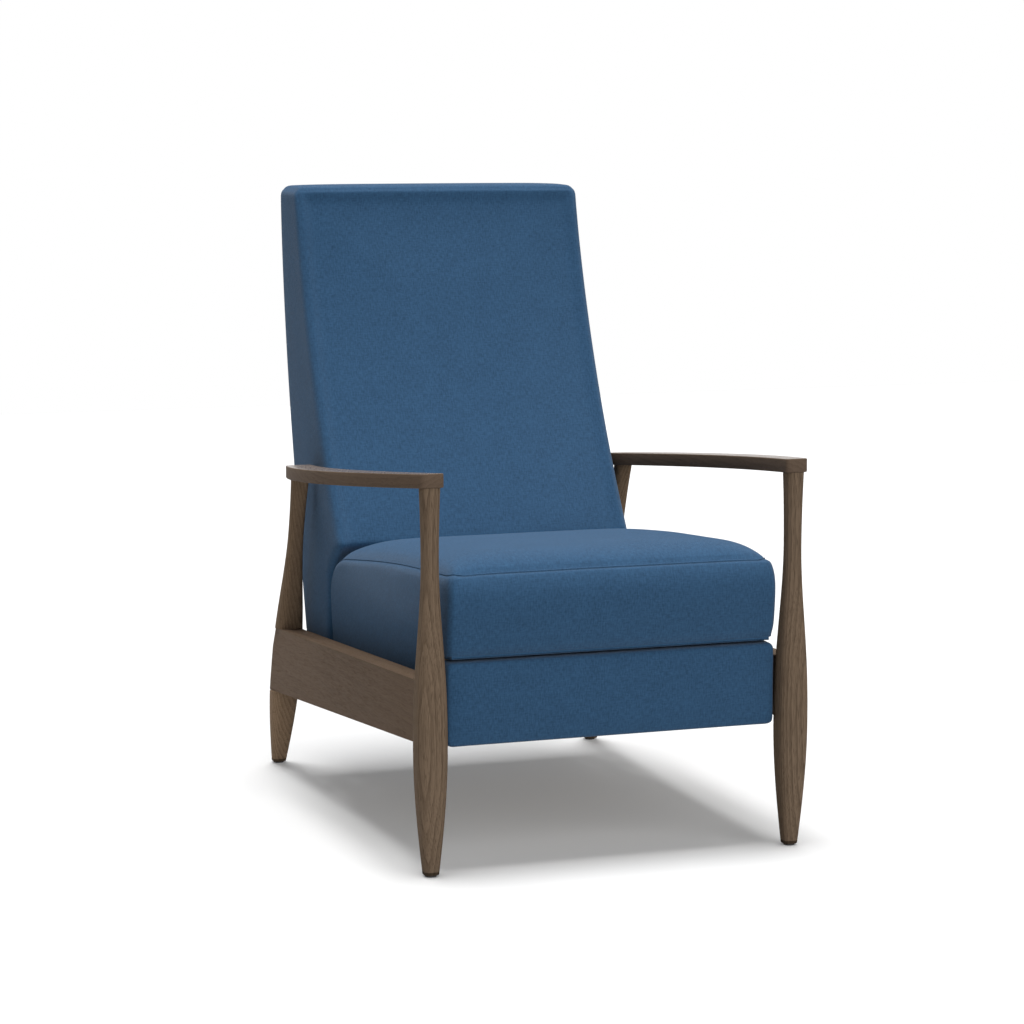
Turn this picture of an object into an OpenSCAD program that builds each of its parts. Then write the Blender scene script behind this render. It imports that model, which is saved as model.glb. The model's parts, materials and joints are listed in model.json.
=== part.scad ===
// High-leg push-back recliner: a wooden show frame, a seat that glides forward on two tracks,
// a hinged back, and a footrest panel on two scissor linkages.
// X runs from side to side, the front faces -Y, +Z is up, and the floor is at z = 0.
// Inside the modules y is counted from the front legs' axis; placed() moves it to the middle.

/* [Seat] */
// Width of the seat over its side covers
seat_w = 546; // [520:2:580]
// Depth of the seat cushion
seat_depth = 634; // [620:1:650]
// Height of the cushion's front lower edge above the floor
seat_front_z = 338; // [332:1:350]
// Slope of the seat, down to the rear
seat_slope = 5.4; // [5:0.1:5.8]
// Thickness of the cushion at its front seam
cushion_t = 127; // [110:1:140]
// Rise of the cushion's crown above its seams
cushion_crown = 37; // [20:1:45]
// Thickness of the seat's side boards
seat_board_t = 20; // [16:1:24]
// Height of the seat's side boards
seat_board_h = 87; // [82:1:92]
// Thickness of the padded, fabric-covered side panels
side_cover_t = 8.7; // [7:0.1:10]

/* [Back] */
// Distance of the back's sides inside the seat's sides
back_inset = 4; // [3:0.5:14]
// Height of the top of the back above the floor
back_top_z = 1037; // [980:1:1080]
// Height of the back's lower edge above the floor
back_bottom_z = 243; // [241:1:250]

/* [Arms and legs] */
// Distance of each leg's axis from the seat's side
leg_gap = 29; // [28:1:40]
// Height of the arm's underside at the front leg
arm_under_z = 600; // [580:1:620]
// Thickness of the arm board
arm_t = 22; // [18:1:28]
// Slope of the arm, down to the rear
arm_slope = 5.15; // [4:0.05:7]
// Length of the arm in plan
arm_len = 765; // [755:1:785]
// Width of the arm at its front end
arm_front_w = 37; // [32:1:40]
// Width of the arm at its middle
arm_mid_w = 52; // [44:1:60]
// Width of the arm at its rear end
arm_rear_w = 46; // [40:1:47]
// Outward bow of the arm's outer edge
arm_bow = 51; // [40:1:70]
// Widest size of a leg, at its swell
leg_swell_w = 49; // [46:1:52]
// Size of a leg at its foot
leg_foot_w = 23; // [20:1:28]
// Size of a front leg at its neck
leg_neck_w = 25.5; // [22:0.5:30]
// Size of a front leg at the arm
leg_top_w = 30; // [26:1:34]
// Distance of the rear leg's foot behind the front leg's axis
rear_foot_y = 877; // [865:1:885]
// Rake of the rear legs, forward going up
rear_rake = 16.6; // [15.5:0.1:17.5]

/* [Side rails] */
// Thickness of a side rail
rail_t = 36; // [30:1:38]
// Gap between the seat's side and the rail
track_gap = 13; // [13:0.5:15]
// Height of the rail's top edge at the front leg's axis
rail_top_z = 306; // [300:1:316]
// Height of the rail's bottom edge at the front leg's axis
rail_bottom_z = 209; // [200:1:214]
// Slope of the rail's top edge
rail_top_slope = 3.4; // [3:0.1:4]
// Slope of the rail's bottom edge
rail_bottom_slope = 4.75; // [4.5:0.05:5]

/* [Footrest] */
// Height of the footrest panel
panel_h = 124; // [110:1:126]
// Thickness of the footrest pad
pad_t = 34; // [24:1:36]
// Thickness of the footrest board
panel_board_t = 12; // [9:0.5:14]

/* [Motion] */
// Forward travel of the seat on its tracks
glide_travel = 70; // [50:1:75]
// Thickness of the steel links and plates
link_t = 4; // [3:0.5:4.5]
// Width of the steel links
link_w = 16; // [14:0.5:17]
// Gap between neighbouring links
link_gap = 2; // [1.5:0.1:2.5]
// Radius of the rivets that the links turn on
rivet_r = 3.5; // [2.5:0.5:4]
// Radial clearance of a rivet in its bore
rivet_clearance = 0.05; // [0.02:0.01:0.1]

/* [Hidden] */

// Where the seat and the legs stand
seat_half = seat_w / 2;
back_half = seat_half - back_inset;
leg_x = seat_half + leg_gap;
rail_in = seat_half + track_gap;
rail_out = rail_in + rail_t;
lap_x = leg_x + 2;
rail_front_y = 4;

// Legs
glide_t = 3;
glide_r = 9;
glide_stem_r = 2;
glide_stem_len = 12;
swell_z = 200;
neck_z = 486;
rear_leg_share = 0.98;
rear_swell_z = 175;
rear_neck_z = 440;
dowel_r = 5;
dowel_deep_leg = 28;
dowel_deep_arm = 12;
arm_front_y = -17;
arm_out = 17;
arm_edge_r = 4;
arm_corner_r = 6;

// Stretchers between the rails
stretcher_t = 22;
stretcher_h = 25;
stretcher_lift = 3;
front_stretcher_y = 430;
rear_stretcher_y = 655;
block_leg = 36;

// Tracks
track_w = -77;
channel_depth = 11;
channel_wall = 2;
channel_half = 12;
channel_lip = 3;
track_run = 0.3;
channel_front_u = 60;
channel_tab = 3;
slide_len = 426;
slide_base = 4;
slide_neck = 6;
slide_play = 1;

// Seat box, counted along and square to the sloping deck
deck_gap = 0.3;
web_t = 3;
board_out = seat_half - side_cover_t - deck_gap;
board_in = board_out - seat_board_t;
box_front_u = 57;
box_rear_u = 620;
cross_board_t = 20;
cross_half = board_in - link_t;
link_swing_room = 10;
front_half = cross_half - link_swing_room;
front_board_h = 40;
rear_board_h = 62;
rear_board_gap = 2;
board_chamfer = 30;
nose_u = 6;
strap_gap = 8;
cover_h = 62;

// Where the model's middle lies from front to rear
back_rear_y = 958;
middle_y = (back_rear_y - leg_swell_w / 2) / 2;

function lerp(a, b, t) = a + (b - a) * t;
function clamp(v, a, b) = max(a, min(b, v));
function arm_under(y) = arm_under_z - tan(arm_slope) * y;
function rail_top(y) = rail_top_z - tan(rail_top_slope) * y;
function rail_bottom(y) = rail_bottom_z - tan(rail_bottom_slope) * y;
function rear_axis_y(z) = rear_foot_y - tan(rear_rake) * z;
rear_top_z = (arm_under_z - tan(arm_slope) * rear_foot_y) / (1 - tan(arm_slope) * tan(rear_rake));

// Corner points of a rounded rectangle, counter-clockwise, n steps to a corner
function rounded(x0, x1, y0, y1, r, n) = [
    for (c = [[x1 - r, y0 + r, -90], [x1 - r, y1 - r, 0], [x0 + r, y1 - r, 90], [x0 + r, y0 + r, 180]])
        for (k = [0 : n]) [c[0] + r * cos(c[2] + 90 * k / n), c[1] + r * sin(c[2] + 90 * k / n)]
];

// A closed solid through rings with equal numbers of points; flip turns its faces round
module loft(rings, flip = false) {
    n = len(rings[0]);
    m = len(rings);
    total = [for (i = [0 : n - 1]) 1];
    low = total * rings[0] / n;
    high = total * rings[m - 1] / n;
    side = [for (k = [0 : m - 2]) for (i = [0 : n - 1]) let (j = (i + 1) % n)
        each [[k * n + i, (k + 1) * n + i, (k + 1) * n + j], [k * n + i, (k + 1) * n + j, k * n + j]]];
    caps = [for (i = [0 : n - 1]) let (j = (i + 1) % n)
        each [[m * n, i, j], [m * n + 1, (m - 1) * n + j, (m - 1) * n + i]]];
    faces = concat(side, caps);
    polyhedron(concat([for (r = rings) each r], [low, high]),
        flip ? [for (f = faces) [f[2], f[1], f[0]]] : faces);
}

module placed() {
    translate([0, -middle_y, 0]) children();
}

module on_side(side) {
    if (side > 0) children();
    else mirror([1, 0, 0]) children();
}

// The seat's own slope, with the deck's front edge as its origin
module on_seat() {
    translate([0, 0, seat_front_z]) rotate([-seat_slope, 0, 0]) children();
}

// A plate in the plane of the side view, from x to x + t
module side_plate(x, t) {
    translate([x, 0, 0]) rotate([90, 0, 90]) linear_extrude(t) children();
}

// Size of a square leg at height z: a sine from foot to swell, an eased neck and a flared top
function leg_size(z, foot, swell, neck, top, z_swell, z_neck, z_top) =
    z < z_swell ? foot + (swell - foot) * sin(90 * z / z_swell)
    : z < z_neck ? (swell + neck) / 2
        + (swell - neck) / 2 * cos(180 * pow((z - z_swell) / (z_neck - z_swell), 1.2))
    : neck + (top - neck) * pow((z - z_neck) / (z_top - z_neck), 2);

function leg_ring(size, yc, z, level) = [
    for (p = rounded(-size / 2, size / 2, -size / 2, size / 2, size / 3, 4))
        let (y = yc + p[1]) [leg_x + p[0], y, level ? arm_under(y) : z]
];

leg_steps = 17;

module front_leg_form() {
    loft([for (k = [0 : leg_steps]) let (z = lerp(glide_t, arm_under_z, k / leg_steps))
        leg_ring(leg_size(z, leg_foot_w, leg_swell_w, leg_neck_w, leg_top_w, swell_z, neck_z, arm_under_z),
            0, z, k == leg_steps)]);
}

module rear_leg_form() {
    s = rear_leg_share;
    loft([for (k = [0 : leg_steps]) let (z = lerp(glide_t, rear_top_z, k / leg_steps))
        leg_ring(leg_size(z, leg_foot_w, s * leg_swell_w, s * leg_neck_w, s * leg_top_w,
            rear_swell_z, rear_neck_z, rear_top_z), rear_axis_y(z), z, k == leg_steps)]);
}

// The rail's full band in side view, from x0 to x1
module rail_band(x0, x1) {
    end_y = rear_foot_y + 60;
    side_plate(x0, x1 - x0) polygon([[rail_front_y, rail_bottom(rail_front_y)],
        [end_y, rail_bottom(end_y)], [end_y, rail_top(end_y)], [rail_front_y, rail_top(rail_front_y)]]);
}

module dowel_at(yc, zc, r) {
    translate([leg_x, yc, zc - dowel_deep_leg])
        cylinder(r = r, h = dowel_deep_leg + dowel_deep_arm, $fn = 24);
}

module arm_bores(r) {
    dowel_at(0, arm_under(0), r);
    dowel_at(rear_axis_y(rear_top_z), rear_top_z, r);
}

module glide_stem(yc, r) {
    translate([leg_x, yc, 0]) cylinder(r = r, h = glide_t + glide_stem_len, $fn = 24);
}

module front_leg(side) {
    color("#6b5a4b") placed() on_side(side) difference() {
        front_leg_form();
        rail_band(rail_in, rail_out);
        dowel_at(0, arm_under(0), dowel_r);
        glide_stem(0, glide_stem_r);
    }
}

module rear_leg(side) {
    color("#6b5a4b") placed() on_side(side) difference() {
        rear_leg_form();
        rail_band(lap_x, rail_out + leg_swell_w);
        dowel_at(rear_axis_y(rear_top_z), rear_top_z, dowel_r);
        glide_stem(rear_foot_y, glide_stem_r);
    }
}

// The rail is housed in the front leg and lapped over the outside of the rear leg
module side_rail(side) {
    color("#5b4c40") placed() on_side(side) {
        difference() {
            intersection() {
                rail_band(rail_in, rail_out);
                side_plate(rail_in - 1, rail_t + 2) polygon([[0, 0], [rear_axis_y(0), 0],
                    [rear_axis_y(2 * rail_top_z), 2 * rail_top_z], [0, 2 * rail_top_z]]);
            }
            intersection() {
                rear_leg_form();
                cube([lap_x, 2 * rear_foot_y, 2 * rail_top_z]);
            }
        }
        intersection() {
            rail_band(lap_x, rail_out);
            rear_leg_form();
        }
    }
}

// The arm's plan: both edges bow outward, the outer one more
function arm_bulge(u) = 4 * u * (1 - u);
function arm_outer(u) = leg_x + arm_out + arm_bow * arm_bulge(u);
function arm_width(u) = lerp(arm_front_w, arm_rear_w, u)
    + (arm_mid_w - (arm_front_w + arm_rear_w) / 2) * arm_bulge(u);

function arm_ring(s, inset) = let (u = clamp(s / arm_len, 0, 1), y = arm_front_y + s, z = arm_under(y)) [
    for (p = rounded(arm_outer(u) - arm_width(u) + inset, arm_outer(u) - inset, 0, arm_t, arm_edge_r, 2))
        [p[0], y, z + p[1]]
];

module arm(side) {
    steps = 14;
    r = arm_corner_r;
    turns = [0, 30, 60];
    color("#74665a") placed() on_side(side) difference() {
        loft([
            for (a = turns) arm_ring(r * (1 - cos(a)), r * (1 - sin(a))),
            for (k = [0 : steps]) arm_ring(lerp(r, arm_len - r, k / steps), 0),
            for (k = [2 : -1 : 0]) arm_ring(arm_len - r * (1 - cos(turns[k])), r * (1 - sin(turns[k])))
        ], true);
        arm_bores(dowel_r);
    }
}

module arm_dowels() {
    color("#c9ad86") placed() for (side = [-1, 1]) on_side(side) arm_bores(dowel_r);
}

module floor_glides() {
    color("#2a2826") placed() for (side = [-1, 1]) on_side(side) for (y = [0, rear_foot_y]) {
        glide_stem(y, glide_stem_r);
        translate([leg_x, y, 0]) cylinder(r = glide_r, h = glide_t, $fn = 32);
    }
}

module stretcher(y) {
    translate([-rail_in, y - stretcher_t / 2, rail_bottom(y) + stretcher_lift])
        cube([2 * rail_in, stretcher_t, stretcher_h]);
}

module front_stretcher() { color("#8a7158") placed() stretcher(front_stretcher_y); }

module rear_stretcher() { color("#8a7158") placed() stretcher(rear_stretcher_y); }

// A triangular block glued into the corner of a stretcher and a rail
module corner_block(y, way) {
    translate([rail_in, y + way * stretcher_t / 2, rail_bottom(y) + stretcher_lift])
        linear_extrude(stretcher_h) polygon([[0, 0], [-block_leg, 0], [0, way * block_leg]]);
}

module corner_blocks() {
    color("#9c8468") placed() for (side = [-1, 1]) on_side(side) {
        corner_block(front_stretcher_y, 1);
        corner_block(rear_stretcher_y, -1);
    }
}

// Tracks: a lipped steel channel on each rail, a T-shaped runner on the seat
channel_in = rail_in - channel_depth;
channel_len = glide_travel + slide_len + 2 * channel_tab;

module along_seat(u0, len) {
    translate([0, u0 + len, 0]) rotate([90, 0, 0]) linear_extrude(len) children();
}

module track_channel(side) {
    h = channel_half;
    t = channel_wall;
    lip_x = channel_in + t;
    color("#9a9c9e") placed() on_side(side) on_seat() translate([0, 0, track_w]) {
        along_seat(channel_front_u, channel_len) polygon([[rail_in, -h], [rail_in, h], [channel_in, h],
            [channel_in, h - t - channel_lip], [lip_x, h - t - channel_lip], [lip_x, h - t],
            [rail_in - t, h - t], [rail_in - t, t - h], [lip_x, t - h],
            [lip_x, t + channel_lip - h], [channel_in, t + channel_lip - h], [channel_in, -h]]);
        for (u = [channel_front_u, channel_front_u + channel_len - channel_tab + track_run])
            translate([lip_x, u, t - h]) cube([channel_depth - 2 * t, channel_tab - track_run, 2 * (h - t)]);
    }
}

module track_slide(side) {
    h = channel_half;
    head = channel_half - channel_wall - track_run;
    head_in = channel_in + channel_wall + slide_play;
    head_out = rail_in - channel_wall - slide_play;
    base = board_out + slide_base;
    color("#d8d4c8") placed() on_side(side) on_seat() translate([0, 0, track_w])
        along_seat(channel_front_u + channel_tab + glide_travel, slide_len)
            polygon([[board_out, -h], [base, -h], [base, -slide_neck], [head_in, -slide_neck],
                [head_in, -head], [head_out, -head], [head_out, head], [head_in, head],
                [head_in, slide_neck], [base, slide_neck], [base, h], [board_out, h]]);
}

// Seat box
module seat_board(side) {
    top = -web_t;
    low = top - seat_board_h;
    color("#a58a68") placed() on_side(side) on_seat()
        side_plate(board_in, seat_board_t) polygon([[box_front_u, low + board_chamfer],
            [box_front_u + board_chamfer, low], [box_rear_u, low], [box_rear_u, top], [box_front_u, top]]);
}

module cross_board(u, h, half) {
    color("#a58a68") placed() on_seat() translate([-half, u, -web_t - h]) cube([2 * half, cross_board_t, h]);
}

module seat_board_front() { cross_board(box_front_u, front_board_h, front_half); }

module seat_board_rear() {
    cross_board(box_rear_u - cross_board_t - rear_board_gap, rear_board_h, cross_half);
}

// A thin ledge that carries the cushion's front over the stowed footrest
module seat_nose_board() {
    back_u = box_front_u + cross_board_t;
    color("#a58a68") placed() on_seat() translate([0, 0, -web_t]) linear_extrude(web_t)
        polygon([[-board_out, nose_u], [board_out, nose_u], [board_out, back_u], [-board_out, back_u]]);
}

// Crossed straps, stretched over the top of the seat boards
module seat_webbing() {
    strap = 48;
    long_pitch = 81.7;
    first_u = box_front_u + cross_board_t + strap_gap;
    last_u = box_rear_u - strap;
    color("#d9cfb8") placed() on_seat() translate([0, 0, -web_t]) {
        for (k = [0 : 5]) translate([-board_out, lerp(first_u, last_u, k / 5), 0])
            cube([2 * board_out, strap, web_t]);
        for (k = [-2 : 2]) translate([k * long_pitch - strap / 2, first_u, 0])
            cube([strap, last_u + strap - first_u, web_t]);
    }
}

// A ring through rounded corners and evenly divided edges, counter-clockwise from the front right
function arc_points(cx, cy, r, a0, n) = [
    for (k = [0 : n]) let (a = a0 + 90 * k / n) [cx + r * cos(a), cy + r * sin(a)]
];
function between(a, b, n) = [for (k = [1 : n - 1]) lerp(a, b, k / n)];
function soft_ring(x0, x1, y0, y1, r0, r1, nc, nx, ny) =
    let (
        c0 = arc_points(x1 - r0, y0 + r0, r0, -90, nc),
        c1 = arc_points(x1 - r1, y1 - r1, r1, 0, nc),
        c2 = arc_points(x0 + r1, y1 - r1, r1, 90, nc),
        c3 = arc_points(x0 + r0, y0 + r0, r0, 180, nc)
    ) concat(c0, between(c0[nc], c1[0], ny), c1, between(c1[nc], c2[0], nx),
        c2, between(c2[nc], c3[0], ny), c3, between(c3[nc], c0[0], nx));

// Height of the cushion's top seam: it sags at the front corners and dips at the rear, under the back
seam_rise = 7;
seam_rise_len = 574;
seam_dip = 30;
seam_dip_len = 108;
corner_sag = 6;
corner_fade = 90;
crown_len = seat_depth - 24;
function seam_w(x, u) = cushion_t + seam_rise * sin(180 * clamp(u / seam_rise_len, 0, 1))
    - seam_dip * pow(max(0, u - seat_depth + seam_dip_len) / seam_dip_len, 2)
    - corner_sag * exp(-norm([seat_half - abs(x), u]) / corner_fade);
function crown_share(t) = sqrt(1 - pow(min(1, abs(t)), 4));
function crown_w(x, u) = cushion_crown * crown_share(x / seat_half)
    * crown_share(2 * u / crown_len - 1);

// The front of the cushion stands upright and swells forward
front_swell = 12;
front_swell_len = 60;
function front_push(u, share) = let (lean = cushion_t * tan(seat_slope))
    (lean * share + front_swell * sin(180 * share)) * (1 - clamp(u / front_swell_len, 0, 1));

module seat_cushion() {
    bulge = 4;
    seam_in = 5;
    corner = 24;
    sides = [[4, 0], [0, 0.08], [-0.7 * bulge, 0.25], [-bulge, 0.5], [-0.7 * bulge, 0.75], [1, 0.93],
        [seam_in + 1, 0.985]];
    tops = [seam_in + 1, 10, 17, 28, 44, 68, 100, 150, 205];
    ring_at = function (inset) soft_ring(-seat_half + inset, seat_half - inset, max(inset, 0),
        seat_depth - max(inset, 0), max(6, corner - inset / 6), max(6, corner - inset / 6), 4, 9, 9);
    color("#36597c") placed() on_seat() loft([
        for (s = sides) [for (p = ring_at(s[0])) let (x = p[0], u = p[1])
            [x, u - front_push(u, s[1]), lerp(deck_gap, seam_w(x, u), s[1])]],
        for (i = tops) [for (p = ring_at(i)) let (x = p[0], u = p[1])
            [x, u - front_push(u, 1), seam_w(x, u) + crown_w(x, u)]]
    ]);
}

module seat_side_cover(side) {
    low = -cover_h;
    color("#37506b") placed() on_side(side) on_seat() side_plate(board_out + deck_gap, side_cover_t)
        polygon([[box_front_u, low], [box_rear_u, low], [box_rear_u, 0], [box_front_u, 0]]);
}

// The back's outline in side view
bulge_y = 598;
bulge_z = 427;
tuck_y = 52;
tuck_z = 50;
rear_bow = 139;
rear_bow_z = 1010;
rear_bow_h = 758;
function back_front_y(z) = z < bulge_z - tuck_z ? bulge_y + tuck_y
    : z < bulge_z ? bulge_y + tuck_y * pow((bulge_z - z) / tuck_z, 0.8)
    : bulge_y + 0.64 * (z - bulge_z) - 0.000338 * pow(z - bulge_z, 2);
function back_rear_line(z) = back_rear_y - rear_bow * pow(max(0, rear_bow_z - z) / rear_bow_h, 1.573);

// The frame's slot inside the back: from z0 to z1, between two distances in front of the rear skin
back_skin = 12;
back_post_d = 40;
back_post_t = 22;
back_post_top = 984;
back_web_t = 3;
back_web_low_z = 330;
back_rail_low_h = 50;
back_rail_mid_z = 600;
back_rail_mid_h = 46;
back_rail_top_h = 54;
back_rail_inset = 8;
slot_play = 0.5;
back_rails = [[back_bottom_z + back_rail_inset, back_rail_low_h], [back_rail_mid_z, back_rail_mid_h],
    [back_post_top - back_rail_top_h, back_rail_top_h]];
post_out = cross_half - link_gap - link_t;
post_in = post_out - back_post_t;
slot_half = cross_half;
band_step = 60;
function band_line(z) = let (k = floor(z / band_step))
    lerp(back_rear_line(k * band_step), back_rear_line((k + 1) * band_step), z / band_step - k) - back_skin;
module back_band(z0, z1, d0, d1) {
    inner = [for (k = [floor(z0 / band_step) + 1 : ceil(z1 / band_step) - 1]) k * band_step];
    zs = concat([z0], inner, [z1]);
    polygon(concat([for (z = zs) [band_line(z) - d0, z]],
        [for (k = [len(zs) - 1 : -1 : 0]) [band_line(zs[k]) - d1, zs[k]]]));
}

// The room that the padding leaves for the posts, the rails and the webbing
module back_frame_room() {
    front = back_post_d + back_web_t + slot_play;
    top = back_post_top + 2 * slot_play;
    for (side = [-1, 1]) on_side(side)
        side_plate(post_in - slot_play, slot_half - post_in + slot_play)
            back_band(back_bottom_z - back_skin, top, -slot_play, front);
    side_plate(-slot_half, 2 * slot_half)
        back_band(back_web_low_z - slot_play, top, back_post_d - slot_play, front);
    for (r = back_rails)
        side_plate(-post_in, 2 * post_in)
            back_band(r[0] - slot_play, r[0] + r[1] + slot_play, back_rail_inset - slot_play, front);
}

module back_upholstery() {
    rear_r = 14;
    front_r = 30;
    top_r = 18;
    face_crown = 7;
    low = back_bottom_z;
    levels = [low, low + 3, low + 12, 310, 374, 384, 395, 408, 420, bulge_z + 6, 448, 475, 515, 560,
        610, 665, 720, 775, 830, 885, 935, back_top_z - 48, back_top_z - top_r];
    insets = [6, 2, 0];
    ring_at = function (z, inset) let (y0 = back_front_y(z) + inset, y1 = back_rear_line(z) - inset)
        [for (p = soft_ring(-back_half + inset, back_half - inset, y0, y1, front_r, rear_r, 4, 9, 4))
            [p[0], p[1] - face_crown * (1 - pow(p[0] / back_half, 2)) * (y1 - p[1]) / (y1 - y0), z]];
    color("#36597c") placed() difference() {
        loft([
            for (k = [0 : len(levels) - 1]) ring_at(levels[k], k < 3 ? insets[k] : 0),
            for (a = [35, 65]) ring_at(back_top_z - top_r + top_r * sin(a), top_r * (1 - cos(a))),
            ring_at(back_top_z, top_r)
        ]);
        back_frame_room();
    }
}

module back_post(side) {
    color("#a58a68") placed() on_side(side) side_plate(post_in, back_post_t)
        back_band(back_bottom_z, back_post_top, 0, back_post_d);
}

module back_rail(k) {
    z = back_rails[k][0];
    color("#a58a68") placed() side_plate(-post_in, 2 * post_in)
        back_band(z, z + back_rails[k][1], back_rail_inset, back_post_d);
}

module back_webbing() {
    strap = 46;
    top_gap = 10;
    top_z = back_post_top - strap - top_gap;
    color("#d9cfb8") placed() for (k = [0 : 6])
        side_plate(-post_out, 2 * post_out) let (z = lerp(back_web_low_z, top_z, k / 6))
            back_band(z, z + strap, back_post_d, back_post_d + back_web_t);
}

// Hinge between the seat and the back, below the back's lower edge
hinge_y = 690;
hinge_drop = 21;
hinge_z = back_bottom_z - hinge_drop;
hinge_w = 30;
hinge_pin_r = 5;
hinge_head_r = 8;
arm_root_y = 578;
arm_root_lift = 14;
bracket_elbow_lift = 6;
bracket_top_lift = 96;

// Outline of a flat bar of width w with round ends, bent through the points of the side view
function heading(a, b) = atan2(b[1] - a[1], b[0] - a[0]);
function turn(a0, a1) = let (d = (a1 - a0) % 360) d > 180 ? d - 360 : d < -180 ? d + 360 : d;
function fan(c, r, a0, a1) = let (n = max(2, ceil(abs(a1 - a0) / 15)))
    [for (k = [0 : n]) c + r * [cos(lerp(a0, a1, k / n)), sin(lerp(a0, a1, k / n))]];
function bar_side(p, r) = [for (k = [0 : len(p) - 2]) let (a = heading(p[k], p[k + 1]))
    each (k == len(p) - 2 ? [] : let (d = turn(a, heading(p[k + 1], p[k + 2])))
        d > 0 ? fan(p[k + 1], r, a - 90, a - 90 + d)
        : [p[k + 1] + r / cos(d / 2) * [cos(a - 90 + d / 2), sin(a - 90 + d / 2)]])];
function bar_end(p, r) = let (n = len(p) - 1, a = heading(p[n - 1], p[n])) fan(p[n], r, a - 90, a + 90);
function backward(p) = [for (k = [len(p) - 1 : -1 : 0]) p[k]];

module bar(points, w) {
    back = backward(points);
    polygon(concat(bar_side(points, w / 2), bar_end(points, w / 2),
        bar_side(back, w / 2), bar_end(back, w / 2)));
}

module side_pin(p, r, x0, x1) {
    translate([x0, p[0], p[1]]) rotate([0, 90, 0]) cylinder(r = r, h = x1 - x0, $fn = 32);
}

module hinge_arm(side) {
    pivot = [hinge_y, hinge_z];
    color("#3c3e40") placed() on_side(side) difference() {
        side_plate(cross_half, link_t) bar([[arm_root_y, hinge_z + arm_root_lift], pivot], hinge_w);
        side_pin(pivot, hinge_pin_r, cross_half - 1, board_in + 1);
    }
}

module back_bracket(side) {
    pivot = [hinge_y, hinge_z];
    post_y = function (z) back_rear_line(z) - back_skin - back_post_d / 2;
    elbow = [post_y(back_bottom_z), hinge_z + bracket_elbow_lift];
    upper = [post_y(hinge_z + bracket_top_lift), hinge_z + bracket_top_lift];
    color("#3c3e40") placed() on_side(side) difference() {
        side_plate(post_out, link_t) bar([pivot, elbow, upper], hinge_w);
        side_pin(pivot, hinge_pin_r + rivet_clearance, post_out - 1, cross_half);
    }
}

module hinge_pins() {
    color("#b8babc") placed() for (side = [-1, 1]) on_side(side) {
        side_pin([hinge_y, hinge_z], hinge_pin_r, post_out - rivet_clearance, board_in);
        side_pin([hinge_y, hinge_z], hinge_head_r, post_out - 3, post_out - rivet_clearance);
    }
}

module back_rail_bottom() { back_rail(0); }

module back_rail_middle() { back_rail(1); }

module back_rail_top() { back_rail(2); }

// Footrest panel, stowed upright under the seat's front edge
panel_gap = 10;
panel_front_y = 2;
panel_top_z = seat_front_z - panel_gap;
panel_low_z = panel_top_z - panel_h;
panel_back_y = panel_front_y + pad_t + panel_board_t;

module footrest_pad() {
    edge = 9;
    corner = 7;
    levels = concat([for (a = [0, 30, 60, 90]) [edge * (1 - cos(a)), edge * (1 - sin(a))]],
        [[pad_t - 5, 0], [pad_t - deck_gap, 2]]);
    color("#36597c") placed() loft([
        for (l = levels) [for (p = soft_ring(-seat_half + l[1], seat_half - l[1],
            panel_low_z + l[1], panel_top_z - l[1], corner, corner, 3, 9, 4))
            [p[0], panel_front_y + l[0], p[1]]]
    ], true);
}

module footrest_board() {
    inset = 8;
    color("#a58a68") placed() translate([-seat_half + inset, panel_front_y + pad_t, panel_low_z + inset])
        cube([2 * (seat_half - inset), panel_board_t, panel_h - 2 * inset]);
}

// Footrest linkage in side view at rest: distance behind the front legs' axis, and height
// measured from the seat's front lower edge
pivot_drive = [150, -37];
pivot_control = [85, -35];
pivot_knee = [351, -123];
pivot_cross = [281.5, -120];
pivot_elbow = [249.5, -101];
pivot_toe = [118.5, -113.5];
pivot_heel = [71.5, -83];
cross_play = 5.2;
heel_play = 2.5;
plate_tail = [70, -12];
head_t = 1;
head_over = 2;
rod_r = 5;
rod_head_t = 4;
ear_flange_w = 24;
ear_flange_t = 3;

function at_link(p) = [p[0], seat_front_z + p[1]];
function layer_x(k) = cross_half - k * (link_gap + link_t);

module link_bore(p, r, k) {
    side_pin(at_link(p), r, layer_x(k) - link_gap / 2, layer_x(k) + link_t + link_gap / 2);
}

module link_bar(points, k) {
    side_plate(layer_x(k), link_t) bar([for (p = points) at_link(p)], link_w);
}

module link_boss(p, r, k) {
    side_pin(at_link(p), r, layer_x(k), layer_x(k) + link_t);
}

// A rivet from the outer face of layer k to the inner face of the layer inside it, with a head
module rivet(p, k, head_r) {
    inner = layer_x(k + 1) - rivet_clearance;
    side_pin(at_link(p), rivet_r, inner, layer_x(k) + link_t);
    side_pin(at_link(p), head_r, inner - head_t, inner);
}

// The plate on the seat board that carries both fixed pivots
module linkage_plate(side) {
    color("#3c3e40") placed() on_side(side) difference() {
        link_bar([pivot_control, pivot_drive, pivot_drive + plate_tail], 0);
        link_bore(pivot_drive, rivet_r, 0);
        link_bore(pivot_control, rivet_r, 0);
    }
}

module plate_rivets() {
    color("#b8babc") placed() for (side = [-1, 1]) on_side(side)
        for (p = [pivot_drive, pivot_control]) rivet(p, 0, rivet_r + head_over);
}

module drive_link(side) {
    color("#4a4c4e") placed() on_side(side) difference() {
        link_bar([pivot_drive, pivot_knee], 1);
        link_bore(pivot_drive, rivet_r + rivet_clearance, 1);
        link_bore(pivot_knee, rod_r, 1);
    }
}

// One rod joins the knees of both sides, so that they open together
module knee_rod() {
    p = at_link(pivot_knee);
    color("#6a6c6e") placed() {
        side_pin(p, rod_r, -layer_x(1) - link_t, layer_x(1) + link_t);
        for (side = [-1, 1]) on_side(side)
            side_pin(p, rod_r + head_over, layer_x(2) - rod_head_t, layer_x(2) - rivet_clearance);
    }
}

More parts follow.
